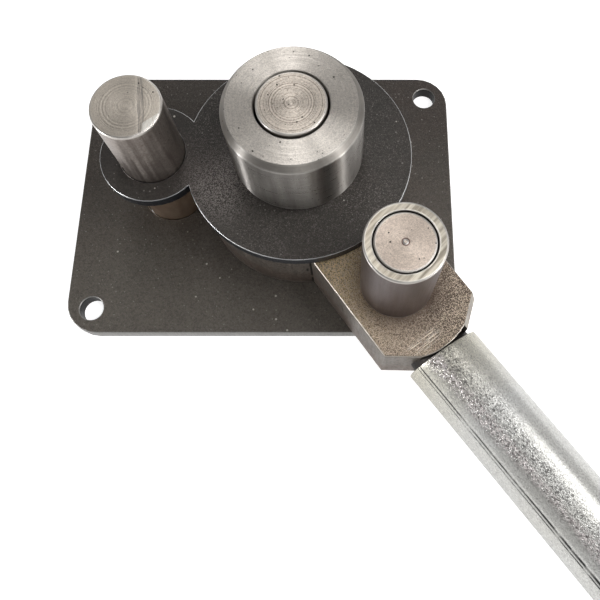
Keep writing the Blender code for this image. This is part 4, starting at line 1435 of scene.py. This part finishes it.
def slice_off(shape, point, normal, edge_layer, finish):
    """Cut away what lies beyond a plane, and close the cut with a flat face."""
    everything = list(shape.verts) + list(shape.edges) + list(shape.faces)
    made = bmesh.ops.bisect_plane(shape, geom=everything, dist=THIN_DISTANCE, plane_co=point,
                                  plane_no=normal, clear_outer=True)
    cut_edges = [item for item in made["geom_cut"] if isinstance(item, bmesh.types.BMEdge)]
    for item in made["geom_cut"]:
        if isinstance(item, bmesh.types.BMVert):
            item[edge_layer] = 0.8
    made_faces = bmesh.ops.contextual_create(shape, geom=cut_edges)["faces"]
    for face in made_faces:
        face.material_index = finish
    print("faces that close the facet:", len(made_faces))


square = [Vector(corner) for corner in ((0, 0), (1, 0), (1, 1), (0, 1))]
print("a square holds its middle:", is_inside(Vector((0.5, 0.5)), square))

# %% [markdown]
# A plate is a stack of those outlines. Near the top and bottom they follow the filed edge, and a
# stored value there tells the shaders where bare steel may show through.

# %% The levels of a plate
EDGE_FADE = 1.1 * MM


def stack_heights(low, high, chamfer, layers):
    """The levels of a plate from top to bottom, as (height, how far pulled in, edge value)."""
    top = [(high, chamfer + EDGE_FADE, 0.0), (high, chamfer, 0.6),
           (high - chamfer * 0.45, chamfer * 0.3, 1.0), (high - chamfer, 0.0, 0.8)]
    middle = [(high - chamfer + (low + chamfer - high + chamfer) * i / layers, 0.0, 0.0)
              for i in range(1, layers)]
    bottom = [(low + chamfer, 0.0, 0.8), (low + chamfer * 0.45, chamfer * 0.3, 1.0), (low, chamfer, 0.6),
              (low, chamfer + EDGE_FADE, 0.0)]
    return top + middle + bottom


print("levels of a plate:", len(stack_heights(0.0, 10 * MM, 0.5 * MM, 6)))

# %% [markdown]
# The levels are joined by rings of faces. The outer wall is one finish and the holes' walls are
# another, painted nearly black as painted shade inside the holes.

# %% Build a plate
OUTER_WALLS = 2


def make_plate(node, chamfer, spacing, finishes, roughness_depth, layers=6, seed=3, facet=None):
    """A plate with filed edges. finishes are for the flats, the rims, the outer walls and the holes."""
    low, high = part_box(node)
    random_cut = np.random.default_rng(seed)
    shape = bmesh.new()
    edge_layer = shape.verts.layers.float.new("edge")
    heights = stack_heights(low.z, high.z, chamfer, layers)
    caps = {0: [], len(heights) - 1: []}
    for number, outline in enumerate(outlines_of(node, low.z)[:1] + outlines_of(node, high.z)[1:]):
        points = resample(outline, spacing)
        steps = inward_normals(points, number == 0)
        grooves = random_cut.random(len(points))
        rings = []
        for z, inset, edge in heights:
            middle = 1.0 if edge == 0.0 else 0.35
            wander = random_cut.random(len(points)) * 0.5 + grooves
            ring = []
            for point, step, cut in zip(points, steps, wander):
                spot = point + step * (inset + roughness_depth * cut * middle)
                vertex = shape.verts.new((spot.x, spot.y, z))
                vertex[edge_layer] = edge
                ring.append(vertex)
            rings.append(ring)
        for level, (upper, lower) in enumerate(zip(rings, rings[1:])):
            from_end = min(level, len(heights) - 2 - level)
            wall = OUTER_WALLS if number == 0 else len(finishes) - 1
            finish = 0 if from_end == 0 else 1 if from_end < 3 else wall
            for i in range(len(points)):
                j = (i + 1) % len(points)
                face = shape.faces.new((upper[i], upper[j], lower[j], lower[i]))
                face.material_index = finish
        for cap, cap_rings in caps.items():
            cap_rings.append(rings[cap])
    for cap_rings in caps.values():
        fill_cap(shape, cap_rings)
    if facet:
        slice_off(shape, *facet, edge_layer, OUTER_WALLS)
    mesh = bpy.data.meshes.new(node)
    shape.to_mesh(mesh)
    shape.free()
    for finish in finishes:
        mesh.materials.append(finish)
    return clean(mesh)


print("a plate's outer walls are finish number", OUTER_WALLS)

# %% [markdown]
# The base plate lies on the bench, with a hole for a bolt near each corner. The guide plate
# sits on the arm's hub, is welded to the post, and keeps the bar level with the die.

# %% Base plate and guide plate
base_mesh = make_plate("base_plate", 0.5 * MM, 1.5 * MM, (plate_scale, plate_wall, plate_wall, painted_shade_hole_wall),
                       0.06 * MM)
add_piece("base-plate", base_mesh, "base", "plate_steel", "base_plate")
guide_mesh = make_plate("guide_plate", 0.26 * MM, 0.8 * MM, (guide_scale, cut_rim, guide_wall, painted_shade_hole_wall),
                        0.05 * MM, seed=5)
add_piece("guide-plate", guide_mesh, "base", "plate_steel", "guide_plate")

# %% [markdown]
# The swing arm is thick bar. It is round at the hub, straight along its length, and has both
# corners cut off at the end where the handle joins.

# %% Swing arm
ARM_ROUNDING = 0.45 * MM
SCRATCH_SHARE = (0.905, 0.975)
END_FACING = 0.86

arm_low, arm_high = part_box("swing_arm")
along_arm = Vector((math.cos(ARM_ANGLE), math.sin(ARM_ANGLE), 0))
across_arm = Vector((-along_arm.y, along_arm.x, 0))
arm_points = points_of("swing_arm") - np.array(AXLE)
arm_reach = float((arm_points @ np.array(along_arm)).max())
straight = arm_points[arm_points @ np.array(along_arm) > arm_reach * 0.6]
half_arm = float(abs(straight @ np.array(across_arm)).max())
arm_top = make_arm_top(arm_reach * SCRATCH_SHARE[0], arm_reach * SCRATCH_SHARE[1], half_arm)


def sloped_facet(node):
    """A point and the normal of the solid's largest face that slopes up and outward."""
    sloped = [face for face in frame["nodes"][node].data.polygons if 0.2 < face.normal.z < 0.9]
    face = max(sloped, key=lambda item: item.area)
    return face.center.copy(), face.normal.copy()


arm_mesh = make_plate("swing_arm", ARM_ROUNDING, 1.2 * MM, (arm_top, arm_wall, arm_wall, arm_wall),
                      0.08 * MM, layers=10, seed=8, facet=sloped_facet("swing_arm"))
arm_mesh.materials.append(arm_end)
for face in arm_mesh.polygons:
    if face.material_index == OUTER_WALLS and face.normal.dot(PIPE_DIRECTION) > END_FACING:
        face.material_index = len(arm_mesh.materials) - 1
add_piece("swing-arm", arm_mesh, "arm", "arm_steel", "swing_arm")
print(f"arm reaches {arm_reach / MM:.1f} mm, half width {half_arm / MM:.1f} mm")

# %% [markdown]
# A weld bead is laid as a row of small overlapping pools, and each freezes with a curved front.
# The tree makes a bent strip from the foot of the post to the plate, and adds the ripple as a
# saw-tooth along its length that lags at the edges.


# %% The weld tree
RIPPLE_PITCH = 2.1 * MM


def make_weld_tree():
    tree, take, give = geometry_group("weld bead", {
        "Start": ("Geometry", None), "Radius": ("Float", 15.5 * MM), "Leg": ("Float", 2 * MM),
        "Ripples": ("Int", 48), "Ripple Depth": ("Float", 0.25 * MM), "Seed": ("Float", 1.0),
        "Finish": ("Material", None)})
    grid = add(tree, "GeometryNodeMeshGrid", {"Size X": 1.0, "Size Y": 1.0, "Vertices X": 11,
                                              "Vertices Y": 481}).outputs[0]
    up_slope, round_axis = parts_of(add(tree, "GeometryNodeInputPosition").outputs[0])[:2]
    slope = times(plus(up_slope, 0.5), math.pi / 2)
    angle = times(plus(round_axis, 0.5), FULL_TURN)
    cosine, sine = calc("COSINE", angle), calc("SINE", angle)
    values = {"Vector": vector_of(cosine, sine, up_slope), "W": take["Seed"], "Scale": 5.0, "Detail": 2.0}
    wander = add(tree, "ShaderNodeTexNoise", values, noise_dimensions="4D").outputs[0]
    bulge = calc("SINE", times(slope, 2.0))
    turns = times(plus(round_axis, 0.5), take["Ripples"])
    pool = calc("POWER", calc("FRACT", plus(turns, times(bulge, 0.6), wander)), 0.6)
    size = minus(take["Leg"], times(pool, bulge, take["Ripple Depth"]))
    size = minus(size, times(wander, bulge, 0.3 * MM))
    out = plus(take["Radius"], times(size, calc("COSINE", slope)))
    spot = vector_of(times(out, cosine), times(out, sine), times(size, calc("SINE", slope)))
    mesh = store(grid, "edge", times(minus(1.0, pool), bulge), "POINT")
    mesh = store(mesh, "finish", 0.0, "FACE")
    mesh = add(tree, "GeometryNodeSetPosition", {"Geometry": mesh, "Position": spot}).outputs[0]
    tree.links.new(finish_faces(mesh, take["Finish"], take["Finish"]), give["Geometry"])
    return tree


weld_tree = make_weld_tree()
print("weld nodes:", len(weld_tree.nodes))

# %% [markdown]
# Each bead takes its place, its size and the side it lies on from its own solid, and its strip is
# closed towards the pieces that it joins.


# %% Weld beads
def close_bead(mesh):
    """Fill the two sides of the bead that lie against the pieces, so that the bead is solid."""
    shape = bmesh.new()
    shape.from_mesh(mesh)
    bmesh.ops.remove_doubles(shape, verts=shape.verts, dist=MERGE_DISTANCE)
    rims = [edge for edge in shape.edges if edge.is_boundary]
    bmesh.ops.bridge_loops(shape, edges=rims)
    shape.to_mesh(mesh)
    shape.free()
    return clean(mesh)


def add_weld(node, body, seed):
    """A rippled bead in the place of a weld solid, standing on the face below it."""
    low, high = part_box(node)
    bands = [radii_at(node, z) for z in levels_of(node)]
    inner, outer = min(band[0] for band in bands), max(band[1] for band in bands)
    wide_end = max(levels_of(node), key=lambda z: radii_at(node, z)[1])
    leg = min(high.z - low.z, outer - inner)
    ripples = round(FULL_TURN * inner / RIPPLE_PITCH)
    inputs = {"Radius": inner, "Leg": leg, "Ripples": ripples, "Seed": seed, "Finish": weld_metal}
    mesh = grow(weld_tree, line_mesh([(0, 0, 0), (inner, 0, 0)], {}), inputs)
    if wide_end > (low.z + high.z) / 2:
        mesh.transform(Matrix.Scale(-1, 4, (0, 0, 1)))
    mesh = close_bead(mesh)
    centre = middle_of(node)
    add_piece(node.replace("_", "-"), shift(mesh, Vector((centre.x, centre.y, wide_end))), body,
              "weld_metal", node)


for seed, (node, body) in enumerate((
        ("axle_foot_weld", "base"), ("post_foot_weld", "base"), ("post_guide_weld", "base"),
        ("follower_pin_weld", "arm"))):
    add_weld(node, body, float(seed + 2))

# %% [markdown]
# The handle is a pipe that slips over a spigot on the arm's end and is held by a roll pin. Its
# wall is swept by the same lathe tree, with an uneven skin of zinc, and laid down along the
# measured axis.


# %% Measure along the pipe
def lay_down(mesh):
    """Turn a mesh made round the Z axis so that Z runs along the pipe from its start."""
    turned = Matrix.Rotation(PIPE_ANGLE, 4, "Z") @ Matrix.Rotation(math.pi / 2, 4, "Y")
    mesh.transform(Matrix.Translation(PIPE_START) @ turned)
    return mesh


def along_pipe(node):
    """A solid's points as (distance from the pipe's axis, distance along it)."""
    points = points_of(node) - np.array(PIPE_START)
    run = points @ np.array(PIPE_DIRECTION)
    away = np.linalg.norm(points - run[:, None] * np.array(PIPE_DIRECTION), axis=1)
    return away, run


pipe_away, pipe_run = along_pipe("handle_pipe")
pipe_outer = float(pipe_away.max())
pipe_inner = float(pipe_away[pipe_away > pipe_outer * 0.5].min())
print(f"pipe radius {pipe_outer / MM:.2f} and {pipe_inner / MM:.2f} mm")


# %% [markdown]
# The start of the pipe was sawn off a little out of square, and its long seam is pressed in.

# %% Handle pipe
LEAN_LENGTH = 40 * MM
SEAM_GROWTH = 110 * MM


def start_slope():
    """How far along the pipe its sawn start leans, for each metre across it."""
    points = points_of("handle_pipe") - np.array(PIPE_START)
    run = points @ np.array(PIPE_DIRECTION)
    across = points @ np.array((-PIPE_DIRECTION.y, PIPE_DIRECTION.x, 0.0))
    near = run < END_ZONE
    return float((run[near] * across[near]).sum() / (across[near] ** 2).sum())


def lean_start(mesh):
    """Slope the start of the pipe as it was sawn, and fade the slope out along it."""
    slope = start_slope()
    for vertex in mesh.vertices:
        fade = max(0.0, 1 - max(0.0, vertex.co.z) / LEAN_LENGTH)
        vertex.co.z += vertex.co.y * slope * fade
    return mesh


def cut_seam(mesh):
    """Press the lines of the pipe's long seam into its outside, deeper as they go along."""
    for vertex in mesh.vertices:
        radius = math.hypot(vertex.co.x, vertex.co.y)
        if radius < (pipe_outer + pipe_inner) / 2:
            continue
        angle = math.atan2(vertex.co.y, -vertex.co.x)
        for offset, depth, width in SEAM_LINES:
            across = (angle - SEAM_ANGLE - offset) * pipe_outer
            deep = depth * (0.6 + min(2.2, vertex.co.z / SEAM_GROWTH))
            scale = 1 - deep * math.exp(-(across / width) ** 2) / radius
            vertex.co.x *= scale
            vertex.co.y *= scale
    return mesh


pipe_corners = [(pipe_outer, 0.0), (pipe_outer, PIPE_LENGTH), (pipe_inner, PIPE_LENGTH), (pipe_inner, 0.0)]
pipe_mesh = turn(pipe_corners, galvanised, galvanised, 160, rounding=0.5 * MM, unevenness=0.008 * MM,
                 lump_size=6 * MM, side_spacing=2.2 * MM)
pipe_mesh = lay_down(clean(lean_start(cut_seam(pipe_mesh))))
add_piece("handle-pipe", pipe_mesh, "arm", "galvanised_steel", "handle_pipe")

# %% [markdown]
# The spigot is a round bar that is let into the arm's end. Its free end has a chamfer, so that
# the pipe slips on easily.


# %% Handle spigot
def broken_edge_corners(away, run):
    """A round bar whose end edges are broken: its radius at both ends, and where it has its full width."""
    widest = run[away > away.max() - TOUCH]
    first, last = float(run.min()), float(run.max())
    return [(0.0, first), (float(away[run < first + TOUCH].max()), first),
            (float(away.max()), float(widest.min())), (float(away.max()), float(widest.max())),
            (float(away[run > last - TOUCH].max()), last), (0.0, last)]


spigot_corners = broken_edge_corners(*along_pipe("handle_spigot"))
print("spigot corners, mm:", in_mm(spigot_corners))
spigot_mesh = turn(spigot_corners, spigot_steel, spigot_steel, 96, rounding=0.4 * MM, closed=False,
                   ring_depth=0.02 * MM)
add_piece("handle-spigot", lay_down(spigot_mesh), "arm", "turned_steel", "handle_spigot")

# %% [markdown]
# A black plug closes the pipe's far end: a body pushed into the bore, and a flange outside.

# %% Handle end plug
plug_away, plug_run = along_pipe("handle_end_plug")
plug_body = float(plug_away[plug_run < PIPE_LENGTH - TOUCH].max())
plug_corners = broken_edge_corners(plug_away, plug_run)[:2:-1] + [
    (float(plug_away.max()), PIPE_LENGTH), (plug_body, PIPE_LENGTH), (plug_body, float(plug_run.min())),
    (0.0, float(plug_run.min()))]
print("end plug corners, mm:", in_mm(plug_corners))
plug_mesh = turn(plug_corners, black_plastic, black_plastic, 96, rounding=0.5 * MM, closed=False)
add_piece("handle-end-plug", lay_down(plug_mesh), "arm", "black_plastic", "handle_end_plug")

# %% [markdown]
# A roll pin is spring steel rolled to a tube with a slit along it, so that it grips its hole. It
# keeps the pipe on the spigot.

# %% Handle roll pin
PIN_WALL_SHARE = 0.3
PIN_SLIT = math.radians(28)
pin_low, pin_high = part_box("handle_roll_pin")
pin_outer = (pin_high.x - pin_low.x) / 2
pin_inner = pin_outer * (1 - PIN_WALL_SHARE)
roll_corners = [(pin_outer, pin_high.z), (pin_outer, pin_low.z),
                (pin_inner, pin_low.z), (pin_inner, pin_high.z)]
roll_mesh = turn(roll_corners, spigot_steel, spigot_steel, 40, rounding=0.3 * MM, sweep=FULL_TURN - PIN_SLIT)
add_piece("handle-roll-pin", shift(roll_mesh, middle_of("handle_roll_pin").xy.to_3d()), "arm",
          "turned_steel", "handle_roll_pin")

# %% [markdown]
# The bender stands on a plain pale floor. It glows a little, so that it looks white to the camera,
# and less in what the metal mirrors, so that the metal keeps its dark parts.

# %% Floor
FLOOR_SIZE = 6.0
FLOOR_CELLS = 24
FLOOR_GLOW = 0.8
FLOOR_GLOW_MIRRORED = 0.33


def make_floor():
    material, tree, shader = new_material("floor", 0.9, 0.0, specular=0.2)
    place = local_place(tree)
    clouds = effect("clouds", Vector=place, Scale=3.0, Contrast=0.1)["Value"]
    grain = effect("grain", Vector=place, Size=2 * MM)
    base = blend_colours(clouds, colour(0.93, 0.93, 0.93), colour(0.95, 0.95, 0.95))
    connect(tree, shader, base, remap(grain["Value"], 0.0, 1.0, 0.85, 0.95), grain["Height"], 0.02 * MM)
    seen = add(tree, "ShaderNodeLightPath").outputs["Is Camera Ray"]
    glow = blend_colours(seen, colour(*[FLOOR_GLOW_MIRRORED] * 3), colour(*[FLOOR_GLOW] * 3))
    tree.links.new(glow, shader.inputs["Emission Color"])
    shader.inputs["Emission Strength"].default_value = 1.0
    shape = bmesh.new()
    bmesh.ops.create_grid(shape, x_segments=FLOOR_CELLS, y_segments=FLOOR_CELLS, size=FLOOR_SIZE / 2)
    mesh = bpy.data.meshes.new("floor")
    shape.to_mesh(mesh)
    shape.free()
    mesh.materials.append(material)
    floor = bpy.data.objects.new("floor", mesh)
    bpy.context.scene.collection.objects.link(floor)
    return floor


floor = make_floor()
print("floor, m:", [round(side, 1) for side in floor.dimensions])

# %% [markdown]
# Metal shows what is around it, so the lights are large soft panels. Two narrow ones at the sides
# make the bright streaks down the die's side, and a long one lies along the pipe.


# %% Lights
def add_panel(name, place, target, width, height, brightness, tint=(1, 1, 1), turned=0.0):
    """A soft panel of light that faces a point. A brightness of 1 looks white in a mirror."""
    light = bpy.data.lights.new(name, "AREA")
    light.shape = "RECTANGLE"
    light.size, light.size_y = width, height
    light.energy = brightness * width * height * math.pi
    light.color = tint
    lamp = bpy.data.objects.new(name, light)
    lamp.location = place
    facing = (Vector(target) - Vector(place)).to_track_quat("-Z", "Y")
    lamp.rotation_euler = (facing @ Quaternion((0, 0, 1), turned)).to_euler()
    bpy.context.scene.collection.objects.link(lamp)
    return lamp


middle = (AXLE + POST) / 2
panels = [
    add_panel("overhead", (-0.08, 0.75, 1.35), middle, 0.25, 1.8, 3.1),
    add_panel("pipe light", (0.90, -0.53, 1.3), (0.90, -0.53, 0.0), 1.5, 0.22, 6.0, turned=PIPE_ANGLE),
    add_panel("right side", (0.915, 0.004, 1.0), (0.145, -0.16, 0.03), 0.6, 0.5, 4.3),
    add_panel("front fill", (0.226, -0.83, 1.3), (0.19, -0.22, 0.03), 0.55, 0.35, 3.6),
    add_panel("left strip", (-1.12, -0.45, 0.17), middle, 0.04, 0.32, 150.0, (0.97, 0.98, 1.0)),
    add_panel("right strip", (1.11, -0.56, 0.22), middle, 0.03, 0.42, 112.0),
]


print("panels, watts:", {lamp.name: round(lamp.data.energy, 1) for lamp in panels})

# %% [markdown]
# The room itself gives a faint light, brighter near the horizon than overhead. The picture is
# shown without a film curve, so that the colours stay what they were measured to be.


# %% Room and colour
def make_studio():
    """Light from all round, bright near the horizon and dimmer overhead."""
    world = bpy.data.worlds.new("studio")
    world.use_nodes = True
    tree = world.node_tree
    ahead = add(tree, "ShaderNodeTexCoord").outputs["Generated"]
    height = parts_of(ahead)[2]
    tree.links.new(remap(height, 0.38, 0.66, 0.50, 0.07), tree.nodes["Background"].inputs["Strength"])
    tree.nodes["Background"].inputs["Color"].default_value = colour(1.0, 1.0, 1.0)
    return world


bpy.context.scene.world = make_studio()
bpy.context.scene.view_settings.view_transform = "Standard"
print("view transform:", bpy.context.scene.view_settings.view_transform)

# %% [markdown]
# Last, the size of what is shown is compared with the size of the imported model. They should
# agree, because each piece was built to lie within its solid.

# %% Sizes and finish
def reach_out(name):
    """How far a piece reaches out of the boxes of its solids, in metres."""
    corners = np.array([tuple(vertex.co) for vertex in pieces[name].data.vertices])
    lows, highs = zip(*(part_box(node) for node in stands_for[name]))
    low, high = np.min([tuple(v) for v in lows], axis=0), np.max([tuple(v) for v in highs], axis=0)
    return max(float((low - corners.min(axis=0)).max()), float((corners.max(axis=0) - high).max()))


past = {name: round(reach_out(name) / MM, 2) for name in pieces if reach_out(name) > TOUCH}
print("pieces past their solids, mm:", past)
